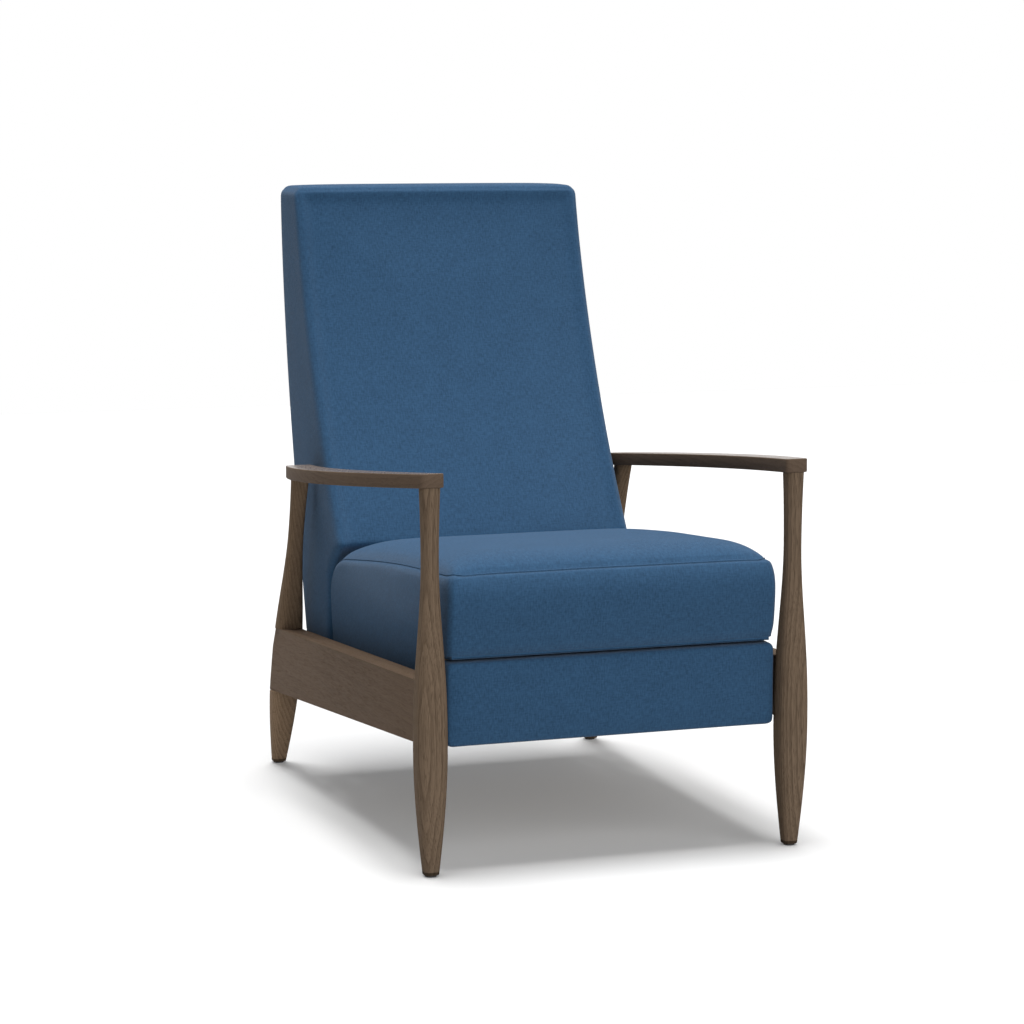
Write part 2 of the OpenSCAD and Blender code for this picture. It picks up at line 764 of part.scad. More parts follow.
module control_link(side) {
    color("#4a4c4e") placed() on_side(side) difference() {
        link_bar([pivot_control, pivot_cross, pivot_elbow], 1);
        link_bore(pivot_control, rivet_r + rivet_clearance, 1);
        link_bore(pivot_cross, rivet_r, 1);
        link_bore(pivot_elbow, rivet_r, 1);
    }
}

module control_rivets() {
    color("#b8babc") placed() for (side = [-1, 1]) on_side(side) {
        rivet(pivot_cross, 1, rivet_r + cross_play + head_over);
        rivet(pivot_elbow, 1, rivet_r + head_over);
    }
}

module lift_link(side) {
    color("#55575a") placed() on_side(side) difference() {
        union() {
            link_bar([pivot_knee, pivot_cross, pivot_toe], 2);
            link_boss(pivot_cross, rivet_r + cross_play + 5, 2);
        }
        link_bore(pivot_knee, rod_r + rivet_clearance, 2);
        link_bore(pivot_cross, rivet_r + cross_play, 2);
        link_bore(pivot_toe, rivet_r, 2);
    }
}

module lift_rivets() {
    color("#b8babc") placed() for (side = [-1, 1]) on_side(side)
        rivet(pivot_toe, 2, rivet_r + head_over);
}

module heel_link(side) {
    color("#55575a") placed() on_side(side) difference() {
        union() {
            link_bar([pivot_elbow, pivot_heel], 2);
            link_boss(pivot_heel, rivet_r + heel_play + 4, 2);
        }
        link_bore(pivot_elbow, rivet_r + rivet_clearance, 2);
        link_bore(pivot_heel, rivet_r + heel_play, 2);
    }
}

// A steel ear on the footrest board, with the toe and heel pivots
module footrest_bracket(side) {
    toe = at_link(pivot_toe);
    heel = at_link(pivot_heel);
    low = min(toe[1], heel[1]) - link_w / 2;
    high = max(toe[1], heel[1]) + link_w / 2;
    color("#3c3e40") placed() on_side(side) difference() {
        union() {
            side_plate(layer_x(3), link_t) hull() {
                for (p = [toe, heel]) translate(p) circle(link_w / 2, $fn = 32);
                translate([panel_back_y, low]) square([ear_flange_t, high - low]);
            }
            translate([layer_x(3) - ear_flange_w, panel_back_y, low])
                cube([ear_flange_w + link_t, ear_flange_t, high - low]);
        }
        link_bore(pivot_toe, rivet_r + rivet_clearance, 3);
        link_bore(pivot_heel, rivet_r, 3);
    }
}

// The heel rivets point outward, from the ear through the heel link
module bracket_rivets() {
    p = at_link(pivot_heel);
    outer = layer_x(2) + link_t + rivet_clearance;
    color("#b8babc") placed() for (side = [-1, 1]) on_side(side) {
        side_pin(p, rivet_r, layer_x(3), outer);
        side_pin(p, rivet_r + heel_play + head_over, outer, outer + head_t);
    }
}

front_leg(-1);  // front_leg_left
front_leg(1);  // front_leg_right
rear_leg(-1);  // rear_leg_left
rear_leg(1);  // rear_leg_right
arm(-1);  // arm_left
arm(1);  // arm_right
side_rail(-1);  // side_rail_left
side_rail(1);  // side_rail_right
front_stretcher();
rear_stretcher();
corner_blocks();
arm_dowels();
floor_glides();
track_channel(-1);  // track_channel_left
track_channel(1);  // track_channel_right
track_slide(-1);  // track_slide_left
track_slide(1);  // track_slide_right
seat_board(-1);  // seat_board_left
seat_board(1);  // seat_board_right
seat_board_front();
seat_board_rear();
seat_nose_board();
seat_webbing();
seat_cushion();
seat_side_cover(-1);  // seat_side_cover_left
seat_side_cover(1);  // seat_side_cover_right
back_upholstery();
back_post(-1);  // back_post_left
back_post(1);  // back_post_right
back_rail_bottom();
back_rail_middle();
back_rail_top();
back_webbing();
hinge_arm(-1);  // hinge_arm_left
hinge_arm(1);  // hinge_arm_right
back_bracket(-1);  // back_bracket_left
back_bracket(1);  // back_bracket_right
hinge_pins();
footrest_pad();
footrest_board();
footrest_bracket(-1);  // footrest_bracket_left
footrest_bracket(1);  // footrest_bracket_right
bracket_rivets();
linkage_plate(-1);  // linkage_plate_left
linkage_plate(1);  // linkage_plate_right
plate_rivets();
drive_link(-1);  // drive_link_left
drive_link(1);  // drive_link_right
knee_rod();
control_link(-1);  // control_link_left
control_link(1);  // control_link_right
control_rivets();
lift_link(-1);  // lift_link_left
lift_link(1);  // lift_link_right
lift_rivets();
heel_link(-1);  // heel_link_left
heel_link(1);  // heel_link_right
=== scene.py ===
"""Looks of a push-back recliner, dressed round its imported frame.

The frame brings every solid of the chair in metres. This script keeps the hard pieces where
they are and gives them their finishes, rounds the wood that shows, and replaces the plain
padding with upholstery that is puffed up by a cloth simulation and sewn afterwards.
"""

import json
import logging
import math
from collections.abc import Callable, Iterator, Sequence
from contextlib import contextmanager
from dataclasses import dataclass, field
from enum import Enum

import bmesh
import bpy
from mathutils import Matrix, Vector
from mathutils.bvhtree import BVHTree
from mathutils.kdtree import KDTree


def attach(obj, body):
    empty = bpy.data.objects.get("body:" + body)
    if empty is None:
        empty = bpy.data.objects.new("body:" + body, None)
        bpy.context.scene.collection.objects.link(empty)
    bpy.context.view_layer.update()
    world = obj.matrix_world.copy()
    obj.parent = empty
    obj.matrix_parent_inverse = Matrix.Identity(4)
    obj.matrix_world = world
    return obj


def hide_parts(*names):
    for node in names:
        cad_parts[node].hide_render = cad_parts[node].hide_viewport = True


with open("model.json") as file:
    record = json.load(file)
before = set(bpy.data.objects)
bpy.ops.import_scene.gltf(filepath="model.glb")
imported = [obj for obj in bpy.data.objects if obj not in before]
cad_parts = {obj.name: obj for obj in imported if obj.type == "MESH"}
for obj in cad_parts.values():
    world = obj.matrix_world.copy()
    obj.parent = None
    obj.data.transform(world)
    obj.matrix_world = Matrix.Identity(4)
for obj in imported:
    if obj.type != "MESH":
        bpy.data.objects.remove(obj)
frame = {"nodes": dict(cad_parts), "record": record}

LOG = logging.getLogger("recliner")
MM = 0.001
Colour = tuple[float, float, float]
Socket = bpy.types.NodeSocket
Piece = bpy.types.Object
Test = Callable[[Vector, Vector], bool]
Feeds = dict[str | int, object]
Number = float | bpy.types.NodeSocket


class Grain(Enum):
    """Which way the grain of a wooden piece runs, as the turn that brings it onto local Z."""

    UPRIGHT = (0.0, 0.0, 0.0)
    LENGTHWISE = (math.radians(90), 0.0, 0.0)


# Mesh tools


def activate(piece: Piece) -> None:
    """Makes a piece the only selected one, and the active one.

    Args:
        piece: The piece that the next operator acts on.
    """
    bpy.ops.object.select_all(action="DESELECT")
    piece.select_set(True)
    bpy.context.view_layer.objects.active = piece


@contextmanager
def editing(piece: Piece) -> Iterator[bmesh.types.BMesh]:
    """Opens a piece in edit mode with nothing selected.

    Args:
        piece: The mesh to edit.

    Yields:
        The edit mesh.
    """
    activate(piece)
    bpy.ops.object.mode_set(mode="EDIT")
    bpy.ops.mesh.select_all(action="DESELECT")
    yield bmesh.from_edit_mesh(piece.data)
    bpy.ops.object.mode_set(mode="OBJECT")


def pick_edges(piece: Piece, test: Test) -> None:
    """Selects the edges that pass a test, and nothing else.

    Args:
        piece: The mesh in edit mode.
        test: Takes an edge's two ends.
    """
    mesh = bmesh.from_edit_mesh(piece.data)
    bpy.ops.mesh.select_mode(type="EDGE")
    for edge in mesh.edges:
        edge.select_set(test(edge.verts[0].co, edge.verts[1].co))
    bmesh.update_edit_mesh(piece.data)


def pull_faces(piece: Piece, test: Test, move: Colour) -> None:
    """Extrudes the faces that pass a test.

    Args:
        piece: The mesh in edit mode.
        test: Takes a face's middle and normal.
        move: How far the new faces go along each axis.
    """
    mesh = bmesh.from_edit_mesh(piece.data)
    bpy.ops.mesh.select_mode(type="FACE")
    for face in mesh.faces:
        face.select_set(test(face.calc_center_median(), face.normal))
    bmesh.update_edit_mesh(piece.data)
    bpy.ops.mesh.extrude_region_move(TRANSFORM_OT_translate={"value": move})


def round_edges(piece: Piece, test: Test, offset: float, segments: int) -> None:
    """Rounds the edges that pass a test.

    Args:
        piece: The mesh in edit mode.
        test: Takes an edge's two ends.
        offset: How far the rounding reaches.
        segments: How many faces it has across.
    """
    pick_edges(piece, test)
    bpy.ops.mesh.bevel(offset=offset, segments=segments, affect="EDGES")


def slice_through(place: Colour, normal: Colour) -> None:
    """Adds edges to the mesh in edit mode where a plane crosses it."""
    bpy.ops.mesh.select_all(action="SELECT")
    bpy.ops.mesh.bisect(plane_co=place, plane_no=normal)


def put_in(name: str, data: bpy.types.ID) -> Piece:
    """Puts new data into the scene as an object."""
    piece = bpy.data.objects.new(name, data)
    bpy.context.scene.collection.objects.link(piece)
    return piece


def add_block(name: str, low: Vector, high: Vector) -> Piece:
    """Adds a rectangular block between two corners.

    Args:
        name: The new piece's name.
        low: Its lowest corner.
        high: Its highest corner.

    Returns:
        The block, with its place in its mesh.
    """
    bpy.ops.object.select_all(action="DESELECT")
    bpy.ops.mesh.primitive_cube_add(size=1, location=(low + high) / 2)
    block = bpy.context.active_object
    block.name = block.data.name = name
    block.scale = high - low
    settle(block)
    return block


def settle(piece: Piece) -> None:
    """Puts a piece's place, turn and scale into its mesh.

    Args:
        piece: The piece, which then sits at the origin.
    """
    activate(piece)
    bpy.ops.object.transform_apply(location=True, rotation=True, scale=True)


def modify(piece: Piece, kind: str, **settings: object) -> None:
    """Adds a modifier and applies it.

    Args:
        piece: The mesh to change.
        kind: The modifier's type.
        **settings: Values of the modifier.
    """
    modifier = piece.modifiers.new(kind.lower(), kind)
    for name, value in settings.items():
        setattr(modifier, name, value)
    activate(piece)
    bpy.ops.object.modifier_apply(modifier=modifier.name)


def smooth(piece: Piece, angle: float = 40.0) -> None:
    """Shades a piece smoothly across edges that are flatter than an angle.

    Args:
        piece: The mesh to shade.
        angle: The sharpest smooth edge, in degrees.
    """
    activate(piece)
    bpy.ops.object.shade_smooth_by_angle(angle=math.radians(angle))


def merged_copy(node: str, name: str) -> Piece:
    """Copies a frame node into a new piece whose triangles share their corners.

    Args:
        node: The node to copy.
        name: The new piece's name.

    Returns:
        The closed copy.
    """
    copy = put_in(name, frame["nodes"][node].data.copy())
    copy.data.name = name
    copy.data.materials.clear()
    with editing(copy):
        bpy.ops.mesh.select_all(action="SELECT")
        bpy.ops.mesh.remove_doubles(threshold=0.01 * MM)
        bpy.ops.mesh.dissolve_limited(angle_limit=math.radians(0.5))
    return copy


def share(value: float, low: float, high: float) -> float:
    """How far a value has gone from low to high, eased at both ends, from 0 to 1."""
    t = min(1.0, max(0.0, (value - low) / (high - low)))
    return t * t * (3 - 2 * t)


# Node tools


@dataclass
class Graph:
    """A node tree that is being built."""

    tree: bpy.types.NodeTree

    def add(self, kind: str, feeds: Feeds | None = None, **settings: object) -> bpy.types.Node:
        """Adds a node.

        Args:
            kind: The node's type.
            feeds: Values or sockets for its inputs, by name or index.
            **settings: The node's own properties.

        Returns:
            The node.
        """
        node = self.tree.nodes.new(kind)
        for name, value in settings.items():
            setattr(node, name, value)
        self.feed(node, feeds or {})
        return node

    def feed(self, node: bpy.types.Node, feeds: Feeds) -> None:
        """Links sockets to a node's inputs, or sets their plain values.

        Args:
            node: The node.
            feeds: A socket, number, vector or colour for each input, by name or index.
        """
        for name, value in feeds.items():
            socket = node.inputs[name]
            if isinstance(value, Socket):
                self.tree.links.new(value, socket)
            elif isinstance(value, tuple) and len(value) == 3 and socket.type == "RGBA":
                socket.default_value = (*value, 1.0)
            else:
                socket.default_value = value

    def math(self, operation: str, a: Number, b: Number = 0.0, clamp: bool = False) -> Socket:
        """Adds a math node.

        Args:
            operation: Its operation.
            a: The first value or socket.
            b: The second value or socket.
            clamp: Whether the result stays from 0 to 1.

        Returns:
            The result.
        """
        return self.add("ShaderNodeMath", {0: a, 1: b}, operation=operation, use_clamp=clamp).outputs[0]

    def vector(self, operation: str, a: Socket, b: Colour | Number | None = None) -> Socket:
        """Adds a vector math node.

        Args:
            operation: Its operation.
            a: The first vector.
            b: The second vector, or the factor of a SCALE.

        Returns:
            The value of a LENGTH, or else the resulting vector.
        """
        feeds = {0: a} if b is None else {0: a, "Scale" if operation == "SCALE" else 1: b}
        node = self.add("ShaderNodeVectorMath", feeds, operation=operation)
        return node.outputs["Value" if operation == "LENGTH" else "Vector"]

    def noise(self, vector: Socket, scale: Number = 1.0, detail: float = 2.0,
              roughness: float = 0.5) -> Socket:
        """Adds a noise texture.

        Args:
            vector: The coordinates.
            scale: Cells to a metre.
            detail: Octaves.
            roughness: Weight of the fine octaves.

        Returns:
            Its value, around 0.5.
        """
        feeds = {"Vector": vector, "Scale": scale, "Detail": detail, "Roughness": roughness}
        return self.add("ShaderNodeTexNoise", feeds).outputs["Fac"]

    def mix(self, factor: Number, a: Colour | Socket, b: Colour | Socket) -> Socket:
        """Mixes two colours.

        Args:
            factor: The share of the second.
            a: The first colour or socket.
            b: The second colour or socket.

        Returns:
            The mixed colour.
        """
        return self.add("ShaderNodeMix", {0: factor, 6: a, 7: b}, data_type="RGBA").outputs[2]

    def remap(self, value: Socket, low: float, high: float, to_low: float = 0.0,
              to_high: float = 1.0) -> Socket:
        """Maps a range of values to another, held at its ends.

        Args:
            value: The value.
            low: Where the range starts.
            high: Where it ends.
            to_low: What its start becomes.
            to_high: What its end becomes.

        Returns:
            The mapped value.
        """
        feeds = {0: value, 1: low, 2: high, 3: to_low, 4: to_high}
        return self.add("ShaderNodeMapRange", feeds, clamp=True).outputs[0]


def open_tree(owner: bpy.types.Material | bpy.types.World) -> Graph:
    """Empties the node tree of a new material or world, so that it can be built."""
    owner.use_nodes = True
    owner.node_tree.nodes.clear()
    return Graph(owner.node_tree)


def new_group(name: str, values: dict[str, float],
              outputs: Sequence[str]) -> tuple[Graph, Feeds, bpy.types.Node]:
    """Starts a shader node group that takes a Vector and some values.

    Args:
        name: The group's name.
        values: The default of each value.
        outputs: Names of the value outputs.

    Returns:
        The graph, the input sockets by name, and the output node.
    """
    tree = bpy.data.node_groups.new(name, "ShaderNodeTree")
    tree.interface.new_socket(name="Vector", in_out="INPUT", socket_type="NodeSocketVector")
    for title, default in values.items():
        socket = tree.interface.new_socket(name=title, in_out="INPUT", socket_type="NodeSocketFloat")
        socket.default_value = default
    for title in outputs:
        tree.interface.new_socket(name=title, in_out="OUTPUT", socket_type="NodeSocketFloat")
    graph = Graph(tree)
    entry = graph.add("NodeGroupInput")
    return graph, {s.name: s for s in entry.outputs}, graph.add("NodeGroupOutput")


def cloth_group() -> bpy.types.NodeTree:
    """Builds the weave effect: threads both ways, slubs along them, and a broad mottle.

    Returns:
        The group, whose Tone is around 0.5 and whose Height is for a bump.
    """
    values = {"Thread": 1.0 * MM, "Slub": 0.3, "Mottle": 0.3}
    graph, given, leave = new_group("woven_threads", values, ("Tone", "Height"))
    vector = given["Vector"]
    turns = graph.math("DIVIDE", 2 * math.pi, given["Thread"])
    place = graph.add("ShaderNodeSeparateXYZ", {0: vector})
    warp = graph.math("SINE", graph.math("MULTIPLY", place.outputs[0], turns))
    weft = graph.math("SINE", graph.math("MULTIPLY", place.outputs[1], turns))
    threads = graph.math("MULTIPLY", warp, weft)
    close, far = 430.0, 120.0
    along = graph.noise(graph.vector("MULTIPLY", vector, (close, far, 1.0)))
    across = graph.noise(graph.vector("MULTIPLY", vector, (far, close, 1.0)))
    across = graph.remap(across, 0.0, 1.0, to_low=0.15, to_high=0.85)
    slubs = graph.math("SUBTRACT", graph.math("ADD", along, across), 1.0)
    broad = graph.math("SUBTRACT", graph.noise(vector, scale=22.0, detail=5.0, roughness=0.62), 0.5)
    tone = graph.math("ADD", graph.math("MULTIPLY", slubs, given["Slub"]),
                      graph.math("MULTIPLY", broad, given["Mottle"]))
    thread_contrast, thread_height = 0.06, 0.5
    tone = graph.math("ADD", tone, graph.math("MULTIPLY", threads, thread_contrast))
    height = graph.math("ADD", graph.math("MULTIPLY", threads, thread_height), slubs)
    graph.feed(leave, {"Tone": graph.math("ADD", tone, 0.5, clamp=True), "Height": height})
    return graph.tree


def grain_group() -> bpy.types.NodeTree:
    """Builds the wood effect: wavy growth rings and fine open pores along local Z.

    Returns:
        The group, with Rings and Pores from 0 to 1 and a Height for a bump.
    """
    values = {"Pitch": 6.0 * MM, "Wave": 9.0 * MM}
    graph, given, leave = new_group("ringed_grain", values, ("Rings", "Pores", "Height"))
    sway, pore, streak = (16.0, 16.0, 2.0), (1500.0, 1500.0, 34.0), (260.0, 260.0, 6.0)
    feeds = {"Vector": graph.vector("MULTIPLY", given["Vector"], sway), "Scale": 5.0, "Detail": 2.0}
    swing = graph.add("ShaderNodeTexNoise", feeds).outputs["Color"]
    swing = graph.vector("SUBTRACT", swing, (0.5, 0.5, 0.5))
    bent = graph.vector("ADD", given["Vector"], graph.vector("SCALE", swing, given["Wave"]))
    radius = graph.vector("LENGTH", graph.vector("MULTIPLY", bent, (1.0, 1.0, 0.0)))
    phase = graph.math("FRACT", graph.math("DIVIDE", radius, given["Pitch"]))
    late_wood, late_power, edge_width = 0.75, 1.7, 0.16
    edge = graph.remap(phase, 0.0, edge_width, to_low=1.0, to_high=0.0)
    rings = graph.math("MULTIPLY", graph.math("POWER", phase, late_power), late_wood)
    rings = graph.math("MAXIMUM", rings, edge)
    pores = graph.remap(graph.noise(graph.vector("MULTIPLY", bent, pore), detail=1.0), 0.53, 0.68)
    streaks = graph.noise(graph.vector("MULTIPLY", bent, streak))
    rings = graph.math("MULTIPLY", rings, graph.remap(streaks, 0.3, 0.7, to_low=0.35))
    pore_height, ring_height = -0.8, -0.3
    height = graph.math("ADD", graph.math("MULTIPLY", pores, pore_height),
                        graph.math("MULTIPLY", rings, ring_height))
    graph.feed(leave, {"Rings": rings, "Pores": pores, "Height": height})
    return graph.tree


def mottle_group() -> bpy.types.NodeTree:
    """Builds a fine surface effect for coated, plated and moulded pieces.

    Returns:
        The group, with a Tone around 0.5 and a Height for a bump.
    """
    graph, given, leave = new_group("fine_mottle", {"Grit": 900.0}, ("Tone", "Height"))
    fine = graph.noise(given["Vector"], given["Grit"])
    broad = graph.noise(given["Vector"], scale=35.0, detail=4.0, roughness=0.6)
    fine_share = 0.35
    tone = graph.math("ADD", graph.math("MULTIPLY", fine, fine_share),
                      graph.math("MULTIPLY", broad, 1 - fine_share))
    graph.feed(leave, {"Tone": tone, "Height": fine})
    return graph.tree


@dataclass
class Effects:
    """The node groups that the finishes share."""

    cloth: bpy.types.NodeTree = field(default_factory=cloth_group)
    grain: bpy.types.NodeTree = field(default_factory=grain_group)
    mottle: bpy.types.NodeTree = field(default_factory=mottle_group)


def surface(graph: Graph, height: Socket, depth: float, feeds: Feeds) -> None:
    """Ends a material with a Principled shader and its bump.

    Args:
        graph: The material's graph.
        height: The height of the surface.
        depth: The size of the height in metres, at 1.
        feeds: The shader's other inputs.
    """
    bump = graph.add("ShaderNodeBump", {"Height": height, "Distance": depth, "Strength": 1.0})
    shader = graph.add("ShaderNodeBsdfPrincipled", {**feeds, "Normal": bump.outputs["Normal"]})
    graph.add("ShaderNodeOutputMaterial", {"Surface": shader.outputs["BSDF"]})


@dataclass(frozen=True)
class Finish:
    """A named look between a light and a dark colour."""

    name: str
    light: Colour
    dark: Colour

    def build(self, effects: Effects) -> bpy.types.Material:
        """Builds the material.

        Args:
            effects: The shared node groups.

        Returns:
            The material.
        """
        material = bpy.data.materials.new(self.name)
        self.compose(open_tree(material), effects)
        return material


@dataclass(frozen=True)
class WoodFinish(Finish):
    """Stained and satin-lacquered wood with open grain."""

    grain: Grain
    pitch: float = 6.0 * MM
    wave: float = 10.0 * MM
    contrast: float = 0.8
    pore_depth: float = 0.55
    gloss_roughness: float = 0.58
    specular: float = 0.015
    bump: float = 0.25 * MM
    # Painted light: this factor makes the lower leg paler, standing in for light bounced up from the white
    # floor. It fades out between the two heights below.
    painted_bounce_light: float = 1.0
    painted_bounce_heights: tuple[float, float] = (0.10, 0.26)
    glide_heights: tuple[float, float] = (7.5 * MM, 9 * MM)
    glide_shade: float = 0.35

    def compose(self, graph: Graph, effects: Effects) -> None:
        """Builds the nodes in the material's graph from the shared effects."""
        place = graph.add("ShaderNodeTexCoord").outputs["Object"]
        turned = graph.add("ShaderNodeMapping", {"Vector": place, "Rotation": self.grain.value}).outputs[0]
        feeds = {"Vector": turned, "Pitch": self.pitch, "Wave": self.wave}
        grain = graph.add("ShaderNodeGroup", feeds, node_tree=effects.grain).outputs
        darkest, palest = tuple(0.55 * c for c in self.dark), tuple(1.15 * c for c in self.light)
        colour = graph.mix(graph.math("MULTIPLY", grain["Rings"], self.contrast), self.light, self.dark)
        colour = graph.mix(graph.math("MULTIPLY", grain["Pores"], self.pore_depth), colour, darkest)
        cloud = graph.noise(place, scale=7.0, detail=3.0)
        colour = graph.mix(graph.remap(cloud, 0.3, 0.7, to_high=0.22), colour, palest)
        # Painted light: the leg is made paler towards its foot for light bounced up from the floor. The last
        # few millimetres next to the glide are made darker.
        if self.painted_bounce_light != 1.0:
            height = graph.add("ShaderNodeSeparateXYZ", {0: place}).outputs[2]
            painted_light_scale = graph.remap(height, *self.painted_bounce_heights, to_low=self.painted_bounce_light)
            painted_light_scale = graph.math("MULTIPLY", painted_light_scale, graph.remap(height, *self.glide_heights, self.glide_shade))
            colour = graph.vector("SCALE", colour, painted_light_scale)
        rough = graph.remap(grain["Pores"], 0.0, 1.0, self.gloss_roughness, self.gloss_roughness + 0.2)
        surface(graph, grain["Height"], self.bump, {
            "Base Color": colour, "Roughness": rough, "Specular IOR Level": self.specular})


@dataclass(frozen=True)
class ClothFinish(Finish):
    """Upholstery cloth or webbing, woven both ways."""

    thread: float = 1.1 * MM
    slub: float = 1.0
    mottle: float = 0.34
    sheen: float = 0.0
    sheen_colour: Colour = (1.0, 1.0, 1.0)
    sheen_roughness: float = 0.62
    roughness: float = 0.85
    specular: float = 0.015
    bump: float = 0.12 * MM

    def compose(self, graph: Graph, effects: Effects) -> None:
        """Builds the nodes in the material's graph from the shared effects."""
        place = graph.add("ShaderNodeTexCoord").outputs["UV"]
        feeds = {"Vector": place, "Thread": self.thread, "Slub": self.slub, "Mottle": self.mottle}
        cloth = graph.add("ShaderNodeGroup", feeds, node_tree=effects.cloth).outputs
        rough = graph.remap(cloth["Tone"], 0.0, 1.0, self.roughness + 0.06, self.roughness - 0.06)
        surface(graph, cloth["Height"], self.bump, {
            "Base Color": graph.mix(cloth["Tone"], self.dark, self.light), "Roughness": rough,
            "Sheen Weight": self.sheen, "Sheen Roughness": self.sheen_roughness,
            "Sheen Tint": self.sheen_colour, "Specular IOR Level": self.specular})


@dataclass(frozen=True)
class PlainFinish(Finish):
    """Coated steel, plated steel or moulded plastic with a fine surface."""

    metallic: float = 0.0
    roughness: float = 0.5
    grit: float = 900.0
    bump: float = 0.04 * MM

    def compose(self, graph: Graph, effects: Effects) -> None:
        """Builds the nodes in the material's graph from the shared effects."""
        place = graph.add("ShaderNodeTexCoord").outputs["Object"]
        feeds = {"Vector": place, "Grit": self.grit}
        mottle = graph.add("ShaderNodeGroup", feeds, node_tree=effects.mottle).outputs
        tone = graph.remap(mottle["Tone"], 0.3, 0.7)
        rough = graph.remap(tone, 0.0, 1.0, self.roughness + 0.08, self.roughness - 0.08)
        surface(graph, mottle["Height"], self.bump, {
            "Base Color": graph.mix(tone, self.dark, self.light), "Roughness": rough,
            "Metallic": self.metallic})


# The front legs' feet are made a little paler: painted light for light bounced up from the floor.
LEG_WOOD = WoodFinish("leg_wood", (0.162, 0.115, 0.078), (0.048, 0.033, 0.022), Grain.UPRIGHT,
                      pitch=4.8 * MM, wave=4 * MM, contrast=0.9, painted_bounce_light=1.1)
# The rear legs get a paler copy of the same leg wood. It is painted light for the light they lack in the
# chair's shadow, with much stronger painted floor light at the feet.
REAR_LEG_WOOD_PAINTED_LIGHT = WoodFinish("rear_leg_wood_painted_light", (0.180, 0.124, 0.080), (0.055, 0.037, 0.023), Grain.UPRIGHT,
                           pitch=4.8 * MM, wave=4 * MM, contrast=0.9, painted_bounce_light=1.7)
ARM_WOOD = WoodFinish("arm_wood", (0.120, 0.085, 0.061), (0.070, 0.049, 0.035), Grain.LENGTHWISE,
                      pitch=8 * MM, contrast=0.7, pore_depth=0.3)
ARM_TOP_WOOD = WoodFinish("arm_top_wood", ARM_WOOD.light, ARM_WOOD.dark, Grain.LENGTHWISE, pitch=8 * MM,
                          contrast=0.6, pore_depth=0.3, gloss_roughness=0.25, specular=0.8)
RAIL_WOOD = WoodFinish("rail_wood", (0.130, 0.090, 0.062), (0.088, 0.060, 0.041), Grain.LENGTHWISE,
                       pitch=11 * MM, contrast=0.5, pore_depth=0.25)
FRAME_WOOD = WoodFinish("frame_wood", (0.40, 0.31, 0.21), (0.28, 0.21, 0.14), Grain.LENGTHWISE, pitch=8 * MM,
                        gloss_roughness=0.75, specular=0.1)
BLUE_LIGHT: Colour = (0.0335, 0.0960, 0.1900)
BLUE_DARK: Colour = (0.0140, 0.0410, 0.0840)
SHEEN_COLOUR: Colour = (0.75, 0.80, 0.88)
BLUE_CLOTH = ClothFinish("blue_cloth", BLUE_LIGHT, BLUE_DARK, sheen=0.14, sheen_colour=SHEEN_COLOUR)
SEAM_CLOTH = ClothFinish("blue_seam_cloth", BLUE_LIGHT, BLUE_DARK, sheen=0.14, sheen_colour=SHEEN_COLOUR,
                         thread=0.7 * MM)
STRAP_CLOTH = ClothFinish("strap_webbing", (0.62, 0.53, 0.38), (0.34, 0.27, 0.17),
                          thread=3.0 * MM, bump=0.5 * MM)
BLACK_STEEL = PlainFinish("black_steel", (0.034, 0.035, 0.037), (0.018, 0.018, 0.019), roughness=0.45)
DARK_STEEL = PlainFinish("dark_steel", (0.062, 0.064, 0.068), (0.036, 0.037, 0.039), roughness=0.4)
ZINC_STEEL = PlainFinish("zinc_steel", (0.56, 0.57, 0.58), (0.40, 0.41, 0.42),
                         metallic=1.0, roughness=0.42, grit=300)
RIVET_STEEL = PlainFinish("rivet_steel", (0.70, 0.70, 0.71), (0.52, 0.52, 0.53), metallic=1.0, roughness=0.3)
NYLON = PlainFinish("runner_nylon", (0.74, 0.71, 0.64), (0.62, 0.59, 0.52), roughness=0.5)
GLIDE = PlainFinish("glide_plastic", (0.030, 0.027, 0.025), (0.014, 0.013, 0.012), roughness=0.6)
BEECH = WoodFinish("beech", (0.60, 0.44, 0.28), (0.46, 0.32, 0.19), Grain.UPRIGHT, pitch=4 * MM)

SLOT_FINISHES = {
    "walnut_leg": LEG_WOOD, "walnut_arm": ARM_WOOD, "walnut_rail": RAIL_WOOD,
    "hidden_hardwood": FRAME_WOOD, "frame_hardwood": FRAME_WOOD, "beech_dowel": BEECH,
    "glide_plastic": GLIDE, "zinc_steel": ZINC_STEEL, "runner_nylon": NYLON, "webbing": STRAP_CLOTH,
    "blue_fabric": BLUE_CLOTH, "blue_fabric_panel": BLUE_CLOTH, "black_steel": BLACK_STEEL,
    "dark_steel": DARK_STEEL, "bright_rivet": RIVET_STEEL,
}


class Wardrobe:
    """Builds each finish once and puts it on pieces."""

    def __init__(self) -> None:
        """Builds the shared effects."""
        self.effects = Effects()
        self.made: dict[str, bpy.types.Material] = {}

    def material(self, finish: Finish) -> bpy.types.Material:
        """Gives a finish's material.

        Args:
            finish: The finish.

        Returns:
            The material, built at its first use.
        """
        if finish.name not in self.made:
            self.made[finish.name] = finish.build(self.effects)
        return self.made[finish.name]

    def dress(self, piece: Piece, finish: Finish) -> None:
        """Gives a piece one finish.

        Args:
            piece: The piece.
            finish: Its finish.
        """
        piece.data.materials.clear()
        piece.data.materials.append(self.material(finish))


# Upholstery tools


@dataclass(frozen=True)
class Padding:
    """How a padded form is puffed up."""

    voxel: float = 6.0 * MM
    pressure: float = 4.0
    cap: float = 22.0 * MM
    give: float = 0.4
    evening: int = 24
    frames: int = 20
    smoothing: int = 2


